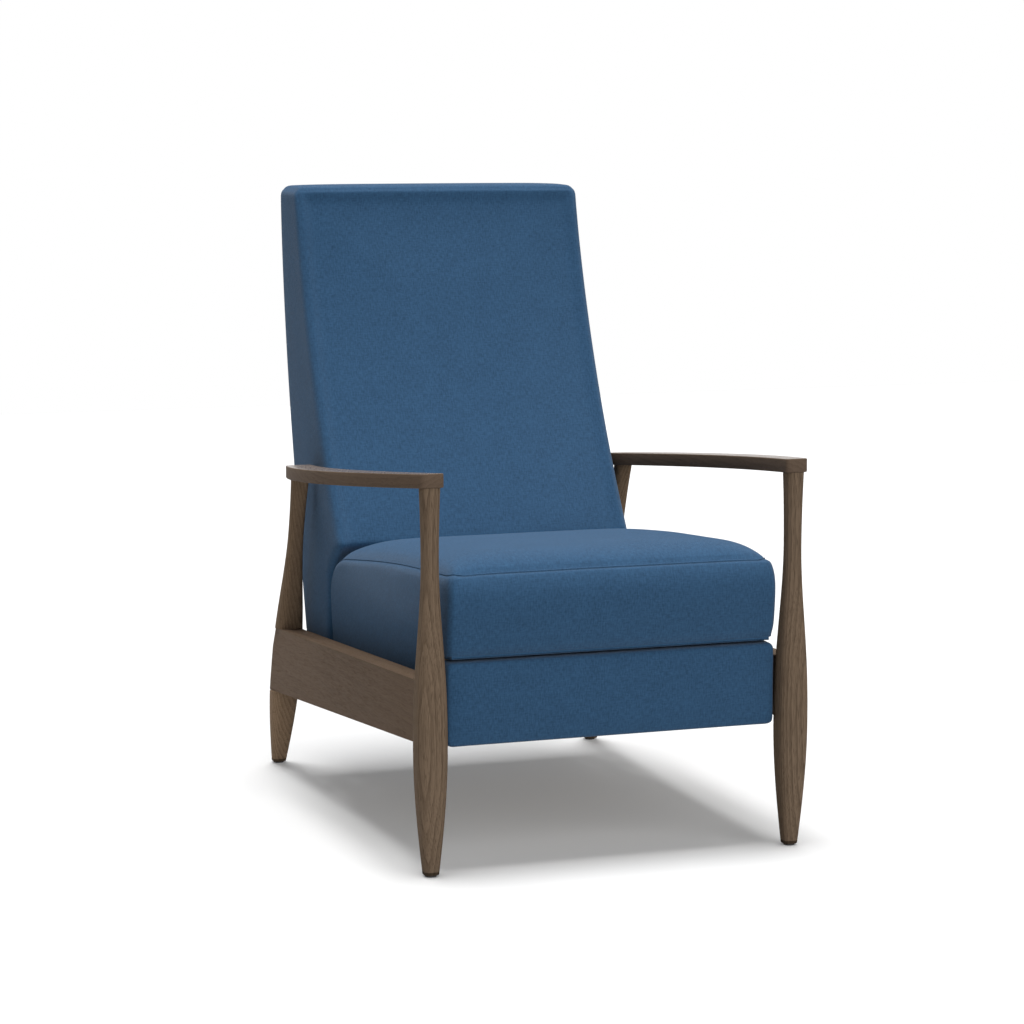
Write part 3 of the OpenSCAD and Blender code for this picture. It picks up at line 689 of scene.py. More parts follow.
def inflate(piece: Piece, padding: Padding, held: Callable[[Vector], bool]) -> None:
    """Puffs a form up with a cloth simulation, then limits and evens out how far it has moved.

    Args:
        piece: The closed form.
        padding: The simulation's values.
        held: Whether a point is tacked down and stays.
    """
    rest = [v.co.copy() for v in piece.data.vertices]
    group = piece.vertex_groups.new(name="held")
    group.add([i for i, co in enumerate(rest) if held(co)], 1.0, "REPLACE")
    cloth = piece.modifiers.new("cloth", "CLOTH")
    cloth.settings.use_pressure = True
    cloth.settings.uniform_pressure_force = padding.pressure
    cloth.settings.vertex_group_mass = "held"
    cloth.settings.effector_weights.gravity = 0.0
    cloth.point_cache.frame_start = 1
    cloth.point_cache.frame_end = padding.frames
    for number in range(1, padding.frames + 1):
        bpy.context.scene.frame_set(number)
    activate(piece)
    bpy.ops.object.modifier_apply(modifier=cloth.name)
    moves = [vertex.co - start for vertex, start in zip(piece.data.vertices, rest)]
    moves = [move * (padding.give * min(1.0, padding.cap / max(move.length, 1e-9))) for move in moves]
    links = [tuple(edge.vertices) for edge in piece.data.edges]
    for _ in range(padding.evening):
        total, count = [move.copy() for move in moves], [1] * len(moves)
        for a, b in links:
            total[a] += moves[b]
            total[b] += moves[a]
            count[a] += 1
            count[b] += 1
        moves = [move / number for move, number in zip(total, count)]
    for vertex, start, move in zip(piece.data.vertices, rest, moves):
        vertex.co = start + move
    piece.vertex_groups.clear()
    bpy.context.scene.frame_set(1)


def upholster(piece: Piece, padding: Padding, shape: Callable[[Piece], None],
              held: Callable[[Vector], bool]) -> None:
    """Rebuilds a closed form with even faces, shapes it and puffs it up.

    Args:
        piece: The closed form.
        padding: The simulation's values.
        shape: Shapes the even form.
        held: Whether a point is tacked down and stays.
    """
    modify(piece, "REMESH", mode="VOXEL", voxel_size=padding.voxel, use_smooth_shade=True)
    shape(piece)
    if padding.smoothing:
        modify(piece, "SMOOTH", factor=0.5, iterations=padding.smoothing)
    inflate(piece, padding, held)
    modify(piece, "SUBSURF", levels=1, render_levels=1)


def fit(piece: Piece, low: Vector, high: Vector) -> None:
    """Stretches a form until it just fills a box.

    Args:
        piece: The form.
        low: The box's lowest corner.
        high: Its highest corner.
    """
    places = [v.co for v in piece.data.vertices]
    for axis in range(3):
        start, end = min(p[axis] for p in places), max(p[axis] for p in places)
        scale = (high[axis] - low[axis]) / (end - start)
        for place in places:
            place[axis] = low[axis] + (place[axis] - start) * scale


def lay_cloth(piece: Piece) -> None:
    """Gives a padded piece a map in metres, so that its threads follow its faces.

    Args:
        piece: The finished piece.
    """
    with editing(piece):
        bpy.ops.mesh.select_all(action="SELECT")
        bpy.ops.uv.cube_project(cube_size=1.0, correct_aspect=False)


def sew_cord(name: str, points: Sequence[Vector], radius: float) -> Piece:
    """Makes a thin rolled seam along points.

    Args:
        name: The new piece's name.
        points: The seam's line.
        radius: The roll's radius.

    Returns:
        The seam as a mesh, with its place in it.
    """
    curve = bpy.data.curves.new(name, "CURVE")
    curve.dimensions = "3D"
    curve.bevel_depth = radius
    curve.bevel_resolution = 2
    curve.use_fill_caps = True
    spline = curve.splines.new("POLY")
    spline.points.add(len(points) - 1)
    for point, place in zip(spline.points, points):
        point.co = (*place, 1.0)
    activate(put_in(name, curve))
    bpy.ops.object.convert(target="MESH")
    cord = bpy.context.active_object
    cord.data.name = name
    smooth(cord, 60)
    return cord


def press_groove(piece: Piece, line: Sequence[Vector], depth: float = 1.2 * MM,
                 width: float = 3 * MM) -> None:
    """Presses a soft groove into a piece along a line.

    Args:
        piece: The piece.
        line: Points of the groove, closer together than its width.
        depth: How deep it is.
        width: Half its width.
    """
    reach = 2.5 * width
    tree = KDTree(len(line))
    for index, point in enumerate(line):
        tree.insert(point, index)
    tree.balance()
    normals = [v.normal.copy() for v in piece.data.vertices]
    for vertex, normal in zip(piece.data.vertices, normals):
        away = tree.find(vertex.co)[2]
        if away < reach:
            vertex.co -= normal * depth * math.exp(-((away / width) ** 2))


# The chair's pieces


@dataclass(frozen=True)
class Chair:
    """Sizes and places that the pieces share with the frame."""

    middle_y: float = 466.75 * MM
    seat_front_z: float = 338 * MM
    seat_slope: float = math.radians(5.4)

    def seat_place(self) -> Matrix:
        """The move from the sloping deck's own axes to the chair's."""
        turn = Matrix.Rotation(-self.seat_slope, 4, "X")
        return Matrix.Translation((0, -self.middle_y, self.seat_front_z)) @ turn

    def side_place(self) -> Matrix:
        """The move from depths counted from the front legs to the chair's own axes."""
        return Matrix.Translation((0, -self.middle_y, 0))


@dataclass
class SeatUpholstery:
    """The crowned seat with its boxing, side skirts and sewn edge, in the deck's own axes."""

    chair: Chair
    half_width: float = 273 * MM
    depth: float = 634 * MM
    thickness: float = 127 * MM
    crown: float = 28 * MM
    crown_length: float = 612 * MM
    crown_front: float = 60 * MM
    crown_powers: tuple[float, float, float] = (9, 4, 2)
    crown_start: float = 0.9
    corner: float = 24 * MM
    rear_corner: float = 10 * MM
    skirt_drop: float = 62 * MM
    skirt_thickness: float = 8.4 * MM
    skirt_front: float = 57 * MM
    skirt_rear: float = 632 * MM
    seam_rise: float = 7 * MM
    seam_rise_length: float = 574 * MM
    rear_dip: float = 28 * MM
    rear_dip_length: float = 76 * MM
    corner_sag: float = 4 * MM
    corner_fade: float = 90 * MM
    ledge: float = 7 * MM
    roll: float = 2 * MM
    extra_seam: float = 0.5 * MM
    side_swell: float = 5 * MM
    swell_fade: float = 0.85
    swell_fade_along: tuple[float, float] = (200 * MM, 560 * MM)
    front_swell: float = 12 * MM
    front_swell_power: float = 1.7
    front_reach: float = 60 * MM
    foot_round: float = 5 * MM
    foot_side: float = 0.6
    rear_round: float = 12 * MM
    soft_reach: float = 40 * MM
    tacked_height: float = 10 * MM
    tacked_rear: float = 12 * MM
    seam_radius: float = 0.7 * MM
    seam_rear: float = 44 * MM
    fold_depth: float = 4.5 * MM
    fold_width: float = 3.8 * MM
    fold_offset: Vector = field(default_factory=lambda: Vector((0, 1, 4.5)) * MM)
    lip_low: Vector = field(default_factory=lambda: Vector((-265.5, 5.5, -4.3)) * MM)
    lip_high: Vector = field(default_factory=lambda: Vector((265.5, 7.2, 6)) * MM)
    lip_tuck: float = 42 * MM
    lip_return: float = 5 * MM
    lip_round: float = 2.5 * MM
    padding: Padding = Padding(cap=8 * MM)

    def block(self) -> Piece:
        """Models the boxed form with its skirts, before it is crowned."""
        low = Vector((-self.half_width, 0, 0))
        high = Vector((self.half_width, self.depth, self.thickness))
        piece = add_block("seat_upholstery", low, high)
        skirt_x = self.half_width - self.skirt_thickness
        edge, middle_y = self.half_width - 0.1 * MM, self.depth / 2
        with editing(piece):
            for x in (skirt_x, -skirt_x):
                slice_through((x, 0, 0), (1, 0, 0))
            for y in (self.skirt_front, self.skirt_rear):
                slice_through((0, y, 0), (0, 1, 0))
            pull_faces(piece, lambda middle, normal: normal.z < -0.9 and abs(middle.x) > skirt_x
                       and self.skirt_front < middle.y < self.skirt_rear, (0, 0, -self.skirt_drop))
            for end, offset in ((-1, self.corner), (1, self.rear_corner)):
                round_edges(piece, lambda a, b: min(abs(a.x), abs(b.x)) > edge
                            and abs(a.z - b.z) > self.thickness / 2
                            and (a.y - middle_y) * end > middle_y - 1 * MM, offset, 6)
        return piece

    def lean(self) -> float:
        """How far the upright front edge comes forward over the sloping deck's front."""
        return self.thickness * math.tan(self.chair.seat_slope)

    def seam_height(self, x: float, u: float) -> float:
        """Height of the sewn edge over the deck."""
        rise = self.seam_rise * math.sin(math.pi * min(1.0, max(0.0, u / self.seam_rise_length)))
        dip = self.rear_dip * (max(0.0, u - self.depth + self.rear_dip_length) / self.rear_dip_length) ** 2
        sag = self.corner_sag * math.exp(-math.hypot(self.half_width - abs(x), u) / self.corner_fade)
        return self.thickness + self.extra_seam + rise - dip - sag

    def crown_height(self, x: float, u: float) -> float:
        """Height of the crown above the sewn edge."""
        across = min(1.0, abs(x) / (self.half_width - self.ledge))
        side_power, rear_power, front_power = self.crown_powers
        inside = u - self.ledge
        along = max(0.0, min(1.0, 2 * inside / (self.crown_length - self.ledge) - 1)) ** rear_power
        along += max(0.0, 1 - max(0.0, inside) / self.crown_front) ** front_power
        return self.crown * math.sqrt((1 - across ** side_power) * (1 - along))

    def edge_distance(self, x: float, u: float) -> float:
        """Distance of a place on the deck from the rounded outline, inward."""
        right, nearest = self.half_width - abs(x), min(u, self.depth - u)
        corner = self.corner if u < self.depth / 2 else self.rear_corner
        if right < corner and nearest < corner:
            return corner - math.hypot(corner - right, corner - nearest)
        return min(right, nearest)

    def shape(self, piece: Piece) -> None:
        """Crowns the top, rolls its edge, and swells the boxing at the front and sides."""
        for vertex in piece.data.vertices:
            x, u, w = vertex.co
            level = min(1.0, max(0.0, w / self.thickness))
            inward = self.edge_distance(x, u)
            top = share(level, self.crown_start, 1.0)
            lift = (self.seam_height(x, u) - self.thickness) * level + self.crown_height(x, u) * top
            lift -= self.roll * (1 - share(inward, 0.0, self.ledge)) * top
            foot = self.foot_round * (1 - share(w, 0.0, 2.5 * self.foot_round))
            edge = share(abs(x), self.half_width - self.soft_reach, self.half_width)
            full = 1 - (2 * level - 1) ** 4 if w > 0 else 0.0
            swell = self.side_swell * full * (1 - self.swell_fade * share(u, *self.swell_fade_along))
            side = (swell - (foot * self.foot_side if u < self.skirt_front else 0.0)) * edge
            reach = 1 - min(1.0, max(0.0, u / self.front_reach))
            swollen = self.front_swell * math.sin(math.pi * level ** self.front_swell_power)
            front = (self.lean() * level + swollen - foot) * reach
            near_rear = share(u, self.depth - self.soft_reach, self.depth)
            back = self.rear_round * share(level, 0.7, 1.0) * near_rear
            vertex.co = (x + math.copysign(side, x), u - front - back, w + lift)

    def seam_line(self, piece: Piece) -> list[Vector]:
        """Finds the sewn line where the top meets the boxing, from the rear left to the rear right."""
        half, corner, rear = self.half_width - self.ledge, self.corner, self.depth - self.seam_rear
        front = self.ledge - self.lean()
        steps, turns = 90, 8
        outline = [Vector((-half, rear + (corner + front - rear) * k / steps, 0)) for k in range(steps)]
        for k in range(turns + 1):
            angle = math.radians(90) * k / turns
            outline.append(Vector((corner - half - math.cos(angle) * corner,
                                   front + corner - math.sin(angle) * corner, 0)))
        step = 2 * (half - corner) / steps
        outline += [Vector((corner - half + step * k, front, 0)) for k in range(1, steps)]
        outline += [Vector((-p.x, p.y, 0)) for p in reversed(outline[:steps + turns + 1])]
        tree = BVHTree.FromObject(piece, bpy.context.evaluated_depsgraph_get())
        over, down = Vector((0, 0, 2 * self.thickness)), Vector((0, 0, -1))
        hits = [tree.ray_cast(place + over, down)[0] for place in outline]
        return [hit for hit in hits if hit is not None]

    def lip(self) -> Piece:
        """Models the cloth that is drawn round the board under the front edge."""
        low, high = self.lip_low, self.lip_high
        skin, inner = low.z + 1.1 * MM, high.x - 1.2 * MM
        piece = add_block("seat_lip", low, high)
        with editing(piece):
            slice_through((0, 0, skin), (0, 0, 1))
            pull_faces(piece, lambda middle, normal: normal.y > 0.9 and middle.z < skin,
                       (0, self.lip_tuck, 0))
            for x in (inner, -inner):
                slice_through((x, 0, 0), (1, 0, 0))
            pull_faces(piece, lambda middle, normal: normal.z > 0.9 and abs(middle.x) > inner
                       and middle.y > high.y, (0, 0, self.lip_return))
            round_edges(piece, lambda a, b: max(a.y, b.y) < low.y + 0.1 * MM
                        and max(a.z, b.z) < low.z + 0.1 * MM, self.lip_round, 4)
        modify(piece, "BEVEL", width=0.3 * MM, segments=2, limit_method="ANGLE")
        return piece

    def build(self, wardrobe: Wardrobe) -> None:
        """Models, puffs up, sews and places the seat.

        Args:
            wardrobe: The finishes.
        """
        piece = self.block()
        upholster(piece, self.padding, self.shape,
                  lambda co: co.z < self.tacked_height or co.y > self.depth - self.tacked_rear)
        line = self.seam_line(piece)
        press_groove(piece, line)
        fold = [p + self.fold_offset for p in line if p.y < 0 and abs(p.x) < self.half_width - self.corner]
        press_groove(piece, fold, self.fold_depth, self.fold_width)
        smooth(piece, 60)
        seam = sew_cord("seat_seam", line, self.seam_radius)
        lip = self.lip()
        smooth(lip)
        for part, finish in ((piece, BLUE_CLOTH), (seam, SEAM_CLOTH), (lip, BLUE_CLOTH)):
            part.matrix_world = self.chair.seat_place()
            settle(part)
            lay_cloth(part)
            wardrobe.dress(part, finish)
            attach(part, "seat")
        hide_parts("seat_cushion", "seat_side_cover_left", "seat_side_cover_right")
        LOG.info("seat upholstery: %d faces", len(piece.data.polygons))


@dataclass
class BackUpholstery:
    """The tall back: a padded front, flat boxing and a bowed rear, with depths from the front legs."""

    chair: Chair
    half_width: float = 269 * MM
    low_z: float = 243 * MM
    top_z: float = 1037 * MM
    bulge_y: float = 598 * MM
    bulge_z: float = 427 * MM
    lean: float = 0.64
    hollow: float = 0.338
    tuck_y: float = 52 * MM
    tuck_z: float = 50 * MM
    tuck_power: float = 0.8
    rear_y: float = 958 * MM
    rear_bow: float = 139 * MM
    rear_bow_z: float = 1010 * MM
    rear_bow_h: float = 758 * MM
    rear_bow_power: float = 1.573
    front_edge: float = 8 * MM
    rear_edge: float = 12 * MM
    top_edge: float = 11 * MM
    corner_sag: float = 2 * MM
    corner_round: float = 14 * MM
    flare: float = 0.022
    flare_z: float = 750 * MM
    face_crown: float = 4 * MM
    recess: float = 6.5 * MM
    recess_near: float = 8 * MM
    recess_deep: float = 32 * MM
    recess_far: float = 190 * MM
    seam_inset: float = 8 * MM
    seam_start: float = 20 * MM
    nominal_depth: float = 120 * MM
    padding: Padding = Padding(voxel=6 * MM, cap=4 * MM, pressure=3.0)

    def front(self, z: float) -> float:
        """Depth of the front face at a height."""
        below = self.bulge_z - z
        if below > self.tuck_z:
            return self.bulge_y + self.tuck_y
        if below > 0:
            return self.bulge_y + self.tuck_y * (below / self.tuck_z) ** self.tuck_power
        return self.bulge_y - self.lean * below - self.hollow * below * below

    def rear(self, z: float) -> float:
        """Depth of the rear face at a height."""
        below = max(0.0, self.rear_bow_z - z) / self.rear_bow_h
        return self.rear_y - self.rear_bow * below ** self.rear_bow_power

    def block(self) -> Piece:
        """Models the back as a straight panel with rounded edges."""
        low = Vector((-self.half_width, 0, self.low_z))
        high = Vector((self.half_width, self.nominal_depth, self.top_z))
        piece = add_block("back_upholstery_dressed", low, high)
        side = self.half_width - 0.1 * MM
        with editing(piece):
            round_edges(piece, lambda a, b: abs(a.z - b.z) > 0.1 and min(abs(a.x), abs(b.x)) > side
                        and a.y < 1 * MM, self.front_edge, 8)
            round_edges(piece, lambda a, b: abs(a.z - b.z) > 0.1 and a.y > self.nominal_depth - 1 * MM,
                        self.rear_edge, 4)
            round_edges(piece, lambda a, b: min(a.z, b.z) > self.top_z - 0.1 * MM, self.top_edge, 5)
        return piece

    def shape(self, piece: Piece) -> None:
        """Bends the straight panel to the back's outline in side view."""
        for vertex in piece.data.vertices:
            x, y, z = vertex.co
            over_x, over_z = abs(x) - self.half_width + self.corner_round, z - self.top_z + self.corner_round
            if over_x > 0 and over_z > 0:
                inward = 1 - max(over_x, over_z) / math.hypot(over_x, over_z)
                x, z = x - math.copysign(over_x * inward, x), z - over_z * inward
            depth = y / self.nominal_depth
            front, rear = self.front(z), self.rear(z)
            crown = self.face_crown * (1 - (x / self.half_width) ** 2) * (1 - depth)
            crown -= self.face_recess(x, z) * (1 - depth) ** 2
            sag = self.corner_sag * abs(x / self.half_width) ** 6 * share(z, self.top_z - 60 * MM, self.top_z)
            x *= 1 + self.flare * (self.flare_z - z) * (1 - depth)
            vertex.co = (x, front + (rear - front) * depth - crown, z - sag)

    def face_recess(self, x: float, z: float) -> float:
        """How far the face lies behind the roll that runs round its edge."""
        inset = min(self.half_width - abs(x), self.top_z - z)
        near = share(inset, self.recess_near, self.recess_deep)
        return self.recess * near * (1 - share(inset, self.recess_deep, self.recess_far))

    def seam_line(self) -> list[Vector]:
        """The sewn line inside the face's edge, up one side, across the top and down the other."""
        side, top = self.half_width - self.seam_inset, self.top_z - self.seam_inset
        low = self.bulge_z + self.seam_start
        up, over = 300, 240
        rim = [(-side, low + (top - low) * k / up) for k in range(up + 1)]
        rim += [(-side + 2 * side * k / over, top) for k in range(1, over)]
        rim += [(side, top + (low - top) * k / up) for k in range(up + 1)]
        return [Vector((x, self.front(z), z)) for x, z in rim]

    def build(self, wardrobe: Wardrobe) -> None:
        """Models, puffs up and places the back.

        Args:
            wardrobe: The finishes.
        """
        piece = self.block()
        upholster(piece, self.padding, self.shape,
                  lambda co: co.z < self.bulge_z - 10 * MM or co.y > self.rear(co.z) - 20 * MM)
        press_groove(piece, self.seam_line())
        smooth(piece, 60)
        piece.matrix_world = self.chair.side_place()
        settle(piece)
        lay_cloth(piece)
        wardrobe.dress(piece, BLUE_CLOTH)
        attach(piece, "back")
        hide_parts("back_upholstery")
        LOG.info("back upholstery: %d faces", len(piece.data.polygons))


@dataclass
class FootrestPanel:
    """The padded panel below the seat's front edge."""

    chair: Chair
    low: Vector = field(default_factory=lambda: Vector((-275, -2.5, 196.8)) * MM)
    high: Vector = field(default_factory=lambda: Vector((275, 35.6, 329.3)) * MM)
    edge: float = 6 * MM
    corner: float = 10 * MM
    puff: float = 4 * MM
    padding: Padding = Padding(voxel=4 * MM, cap=2.5 * MM, pressure=3.0, smoothing=0)

    def bow(self, piece: Piece) -> None:
        """Bows the front of the panel out."""
        low, high = self.chair.side_place() @ self.low, self.chair.side_place() @ self.high
        middle, half = (low + high) / 2, (high - low) / 2
        for vertex in piece.data.vertices:
            x, z = (vertex.co.x - middle.x) / half.x, (vertex.co.z - middle.z) / half.z
            front = 1 - (vertex.co.y - low.y) / (high.y - low.y)
            vertex.co.y -= self.puff * max(0.0, (1 - abs(x) ** 6) * (1 - z * z)) * front

    def build(self, wardrobe: Wardrobe) -> None:
        """Models, puffs up and places the panel.

        Args:
            wardrobe: The finishes.
        """
        low, high = self.chair.side_place() @ self.low, self.chair.side_place() @ self.high
        piece = add_block("footrest_cover", low, high)
        with editing(piece):
            round_edges(piece, lambda a, b: abs(a.y - b.y) > 10 * MM, self.corner, 4)
            round_edges(piece, lambda a, b: max(a.y, b.y) < low.y + 0.1 * MM, self.edge, 4)
        upholster(piece, self.padding, self.bow, lambda co: co.y > high.y - 12 * MM)
        fit(piece, low, high)
        smooth(piece, 60)
        lay_cloth(piece)
        wardrobe.dress(piece, BLUE_CLOTH)
        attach(piece, "footrest")
        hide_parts("footrest_pad")
        LOG.info("footrest cover: %d faces", len(piece.data.polygons))


@dataclass(frozen=True)
class LegForm:
    """A square leg: slim at the foot, full at the swell, slim at the neck and flared at the top."""

    swell: float
    neck: float
    top: float
    swell_z: float
    neck_z: float
    top_z: float
    foot: float = 23 * MM
    foot_y: float = 0.0
    rake: float = 0.0

    def size(self, z: float) -> float:
        """Width of the leg at a height."""
        if z < self.swell_z:
            return self.foot + (self.swell - self.foot) * math.sin(math.pi / 2 * z / self.swell_z)
        if z < self.neck_z:
            turn = math.pi * ((z - self.swell_z) / (self.neck_z - self.swell_z)) ** 1.2
            return (self.swell + self.neck) / 2 + (self.swell - self.neck) / 2 * math.cos(turn)
        return self.neck + (self.top - self.neck) * ((z - self.neck_z) / (self.top_z - self.neck_z)) ** 2

    def axis(self, z: float) -> float:
        """Depth of the leg's axis at a height."""
        return self.foot_y - math.tan(self.rake) * z


FRONT_LEG = LegForm(swell=49 * MM, neck=25.5 * MM, top=30 * MM, swell_z=200 * MM, neck_z=486 * MM,
                    top_z=600 * MM)
REAR_LEG = LegForm(swell=49 * MM, neck=24.99 * MM, top=29.4 * MM, swell_z=175 * MM, neck_z=440 * MM,
                   top_z=535.34 * MM, foot_y=877 * MM, rake=math.radians(16.6))


@dataclass
class ShowWood:
    """The shaped legs, the bowed arms and the side rails."""

    chair: Chair
    leg_x: float = 302 * MM
    foot_z: float = 3 * MM
    arm_under_z: float = 600 * MM
    arm_slope: float = math.radians(5.15)
    arm_front: float = -17 * MM
    arm_length: float = 765 * MM
    arm_thickness: float = 22 * MM
    arm_out: float = 17 * MM
    arm_bow: float = 51 * MM
    arm_widths: tuple[float, float, float] = (37 * MM, 52 * MM, 46 * MM)
    arm_edge: float = 2.0 * MM
    arm_corner: float = 8 * MM
    rail_low: float = 209 * MM
    rail_high: float = 306 * MM
    rail_low_slope: float = math.radians(4.75)
    rail_high_slope: float = math.radians(3.4)
    rail_front: float = 4 * MM
    rail_inner: float = 286 * MM
    rail_outer: float = 322 * MM
    lap_x: float = 304 * MM
    rail_end: float = 32 * MM
    rail_extra: float = 7 * MM
    rail_seat_end: float = 940 * MM
    arm_top_level: float = 0.85

    def under(self, y: float) -> float:
        """Height of the arm's underside at a depth."""
        return self.arm_under_z - math.tan(self.arm_slope) * y

    def turn_round(self, piece: Piece) -> None:
        """Points a piece's faces outwards."""
        with editing(piece):
            bpy.ops.mesh.select_all(action="SELECT")
            bpy.ops.mesh.normals_make_consistent(inside=False)

    def cut(self, piece: Piece, side: int, inner: float, outer: float) -> None:
        """Cuts the seat of a side rail into a leg.

        Args:
            piece: The leg.
            side: -1 for the left, 1 for the right.
            inner: Where the cut starts, from the chair's middle.
            outer: Where it ends.
        """
        span = sorted((side * inner, side * outer))
        low, high = Vector((span[0], self.rail_front, 0)), Vector((span[1], self.rail_seat_end, 1))
        tool = add_block("rail_seat", low, high)
        for vertex in tool.data.vertices:
            y = vertex.co.y
            start, slope = self.rail_low, self.rail_low_slope
            if vertex.co.z > 0.5:
                start, slope = self.rail_high, self.rail_high_slope
            vertex.co = (vertex.co.x, y - self.chair.middle_y, start - math.tan(slope) * y)
        modify(piece, "BOOLEAN", operation="DIFFERENCE", solver="EXACT", object=tool)
        bpy.data.objects.remove(tool)

    def leg(self, name: str, side: int, form: LegForm) -> Piece:
        """Models a leg.

        Args:
            name: The new piece's name.
            side: -1 for the left, 1 for the right.
            form: Its sizes.

        Returns:
            The leg, with the seat of its rail still uncut.
        """
        piece = add_block(name, Vector((-0.5, -0.5, self.foot_z)), Vector((0.5, 0.5, form.top_z)))
        with editing(piece):
            round_edges(piece, lambda a, b: abs(a.z - b.z) > 0.1, 1 / 3, 6)
            pick_edges(piece, lambda a, b: abs(a.z - b.z) > 0.1)
            bpy.ops.mesh.subdivide(number_cuts=55)
        for vertex in piece.data.vertices:
            x, y, z = vertex.co
            depth = form.axis(z) + y * form.size(z)
            height = self.under(depth) if z > form.top_z - 0.1 * MM else z
            vertex.co = (side * (self.leg_x + x * form.size(z)), depth - self.chair.middle_y, height)
        self.turn_round(piece)
        modify(piece, "BEVEL", width=0.9 * MM, segments=2, limit_method="ANGLE", angle_limit=math.radians(55))
        return piece

    def arm(self, name: str, side: int) -> Piece:
        """Models an arm, bowed outward with square edges just broken.

        Args:
            name: The new piece's name.
            side: -1 for the left, 1 for the right.

        Returns:
            The arm.
        """
        end = self.arm_front + self.arm_length
        piece = add_block(name, Vector((0, self.arm_front, 0)), Vector((1, end, 1)))
        with editing(piece):
            pick_edges(piece, lambda a, b: abs(a.y - b.y) > 0.1)
            bpy.ops.mesh.subdivide(number_cuts=40)
        front, middle, rear = self.arm_widths
        for vertex in piece.data.vertices:
            x, y, z = vertex.co
            u = (y - self.arm_front) / self.arm_length
            bulge = 4 * u * (1 - u)
            width = front + (rear - front) * u + (middle - (front + rear) / 2) * bulge
            outer = self.leg_x + self.arm_out + self.arm_bow * bulge
            vertex.co = (side * (outer - (1 - x) * width), y - self.chair.middle_y,
                         self.under(y) + z * self.arm_thickness)
        self.turn_round(piece)
        half = self.arm_length / 2 - 0.1 * MM
        centre = self.arm_front + self.arm_length / 2 - self.chair.middle_y
        with editing(piece):
            round_edges(piece, lambda a, b: abs(a.z - b.z) > 10 * MM and abs(a.y - centre) > half,
                        self.arm_corner, 5)
        modify(piece, "BEVEL", width=self.arm_edge, segments=3, limit_method="ANGLE",
               angle_limit=math.radians(50))
        return piece

    def build(self, wardrobe: Wardrobe) -> None:
        """Models and dresses the wood that shows.

        Args:
            wardrobe: The finishes.
        """
        for side, hand in ((-1, "left"), (1, "right")):
            front = self.leg(f"front_leg_{hand}_wood", side, FRONT_LEG)
            self.cut(front, side, self.rail_inner, self.rail_outer)
            rear = self.leg(f"rear_leg_{hand}_wood", side, REAR_LEG)
            self.cut(rear, side, self.lap_x, self.rail_outer + FRONT_LEG.swell)
            arm = self.arm(f"arm_{hand}_wood", side)
            rail = merged_copy(f"side_rail_{hand}", f"side_rail_{hand}_wood")
            end = max(v.co.y for v in rail.data.vertices) - self.rail_end
            for vertex in rail.data.vertices:
                vertex.co.y += self.rail_extra if vertex.co.y > end else 0.0
            # The rear legs take the paler copy of the leg wood, which is painted light.
            for piece, node, finish, slot in ((front, "front_leg", LEG_WOOD, "walnut_leg"),
                                              (rear, "rear_leg", REAR_LEG_WOOD_PAINTED_LIGHT, "walnut_leg"),
                                              (arm, "arm", ARM_WOOD, "walnut_arm"),
                                              (rail, "side_rail", RAIL_WOOD, "walnut_rail")):
                smooth(piece)
                wardrobe.dress(piece, finish)
                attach(piece, "frame")
                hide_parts(f"{node}_{hand}")
                LOG.info("%s: %d faces", piece.name, len(piece.data.polygons))
            arm.data.materials.append(wardrobe.material(ARM_TOP_WOOD))
            for face in arm.data.polygons:
                face.material_index = int(face.normal.z > self.arm_top_level)


@dataclass(frozen=True)
class Hardware:
    """The frame nodes that stay as they are: boards, straps, steel, rivets and glides."""

    def build(self, wardrobe: Wardrobe) -> None:
        """Dresses the nodes by the record's material slots.

        Args:
            wardrobe: The finishes.
        """
        slots = {row["node"]: row["material_slot"] for row in frame["record"]["subparts"]}
        for name, node in frame["nodes"].items():
            if node.hide_render:
                continue
            wardrobe.dress(node, SLOT_FINISHES[slots[name]])
            for face in node.data.polygons:
                face.use_smooth = True
            node.modifiers.new("weld", "WELD").merge_threshold = 0.01 * MM
            split = node.modifiers.new("split", "EDGE_SPLIT")
            split.split_angle = math.radians(35)
        LOG.info("hardware: %d nodes", sum(not n.hide_render for n in frame["nodes"].values()))


def heading(azimuth: float, height: float) -> Vector:
    """The way from the chair to a place, by its turn from straight ahead and its height as an angle."""
    level = math.cos(height)
    return Vector((math.sin(azimuth) * level, -math.cos(azimuth) * level, math.sin(height)))


@dataclass(frozen=True)
class Lamp:
    """A soft lamp far away. Its strength is the brightness that it gives a white surface facing it."""

    name: str
    strength: float
    spread: float
    azimuth: float
    height: float

    def build(self) -> None:
        """Adds the lamp."""
        data = bpy.data.lights.new(self.name, "SUN")
        data.energy = self.strength * math.pi
        data.angle = self.spread
        lamp = put_in(self.name, data)
        lamp.rotation_mode = "QUATERNION"
        lamp.rotation_quaternion = heading(self.azimuth, self.height).to_track_quat("Z", "Y")


OVERHEAD_LAMP = Lamp("overhead_lamp", 1.36, math.radians(32), math.radians(180), math.radians(85))
FRONT_LAMP = Lamp("front_lamp", 0.63, math.radians(70), math.radians(12), math.radians(18))
SIDE_LAMP = Lamp("side_lamp", 0.04, math.radians(80), math.radians(-68), math.radians(8))


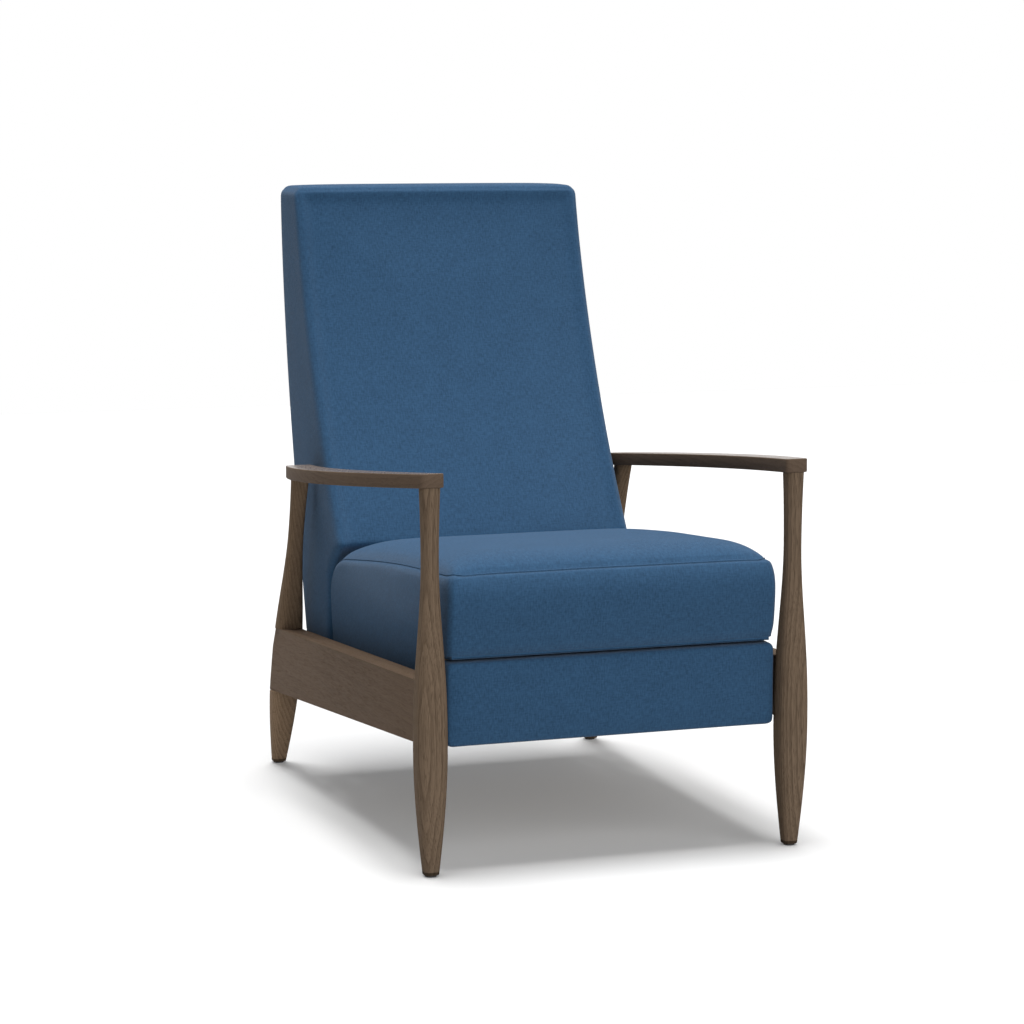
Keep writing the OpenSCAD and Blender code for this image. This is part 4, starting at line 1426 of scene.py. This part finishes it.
@dataclass
class Studio:
    """A pale floor, a white surround, soft lamps and the photograph's camera."""

    chair: Chair
    camera_place: Vector = field(default_factory=lambda: Vector((-1693.7, -4226.4, 1143.6)) * MM)
    azimuth: float = math.radians(-19.83)
    elevation: float = math.radians(7.43)
    lens: float = 104.45
    surround: float = 0.17
    floor_glow: float = 0.155
    floor_tone: float = 0.61
    floor_bounce: float = 0.44
    floor_size: float = 14.0

    def add_camera(self) -> None:
        """Sets the camera at the photograph's viewing angle."""
        data = bpy.data.cameras.new("camera")
        data.lens, data.sensor_width, data.clip_end = self.lens, 36.0, 50.0
        camera = put_in("camera", data)
        camera.location = self.chair.side_place() @ self.camera_place
        camera.rotation_mode = "QUATERNION"
        camera.rotation_quaternion = (-heading(self.azimuth, self.elevation)).to_track_quat("-Z", "Y")
        bpy.context.scene.camera = camera

    def add_surround(self) -> None:
        """Adds a surround that looks white and lights the chair weakly."""
        world = bpy.data.worlds.new("surround")
        graph = open_tree(world)
        ray = graph.add("ShaderNodeLightPath").outputs
        seen = graph.math("MAXIMUM", ray["Is Camera Ray"], ray["Is Transmission Ray"])
        seen = graph.math("MAXIMUM", seen, ray["Is Glossy Ray"])
        feeds = {"Color": (1.0, 1.0, 1.0), "Strength": graph.remap(seen, 0.0, 1.0, self.surround, 1.0)}
        graph.add("ShaderNodeOutputWorld", {"Surface": graph.add("ShaderNodeBackground", feeds).outputs[0]})
        bpy.context.scene.world = world

    def add_floor(self) -> None:
        """Adds a floor that is white where it is lit and grey in the chair's shadow."""
        bpy.ops.object.select_all(action="DESELECT")
        bpy.ops.mesh.primitive_plane_add(size=self.floor_size)
        floor = bpy.context.active_object
        floor.name = "floor"
        material = bpy.data.materials.new("pale_floor")
        graph = open_tree(material)
        ray = graph.add("ShaderNodeLightPath").outputs
        seen = graph.math("MAXIMUM", ray["Is Camera Ray"], ray["Is Glossy Ray"])
        shown, plain = (graph.add("ShaderNodeBsdfDiffuse", {"Color": (tone, tone, tone)}).outputs[0]
                        for tone in (self.floor_tone, self.floor_bounce))
        feeds = {"Color": (1.0, 1.0, 1.0), "Strength": self.floor_glow}
        glow = graph.add("ShaderNodeEmission", feeds).outputs[0]
        lit = graph.add("ShaderNodeAddShader", {0: shown, 1: glow}).outputs[0]
        either = graph.add("ShaderNodeMixShader", {0: seen, 1: plain, 2: lit}).outputs[0]
        graph.add("ShaderNodeOutputMaterial", {"Surface": either})
        floor.data.materials.append(material)

    def build(self) -> None:
        """Sets up the studio."""
        self.add_camera()
        for lamp in (OVERHEAD_LAMP, FRONT_LAMP, SIDE_LAMP):
            lamp.build()
        self.add_surround()
        self.add_floor()
        bpy.context.scene.view_settings.view_transform = "Standard"


def main() -> None:
    """Builds the chair's looks in order, and the studio round it."""
    logging.basicConfig(level=logging.INFO, format="%(relativeCreated)6d ms %(name)s: %(message)s")
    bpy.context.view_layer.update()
    chair = Chair()
    wardrobe = Wardrobe()
    Studio(chair).build()
    SeatUpholstery(chair).build(wardrobe)
    BackUpholstery(chair).build(wardrobe)
    FootrestPanel(chair).build(wardrobe)
    ShowWood(chair).build(wardrobe)
    Hardware().build(wardrobe)
    bpy.ops.object.select_all(action="DESELECT")


if __name__ == "__main__":
    main()
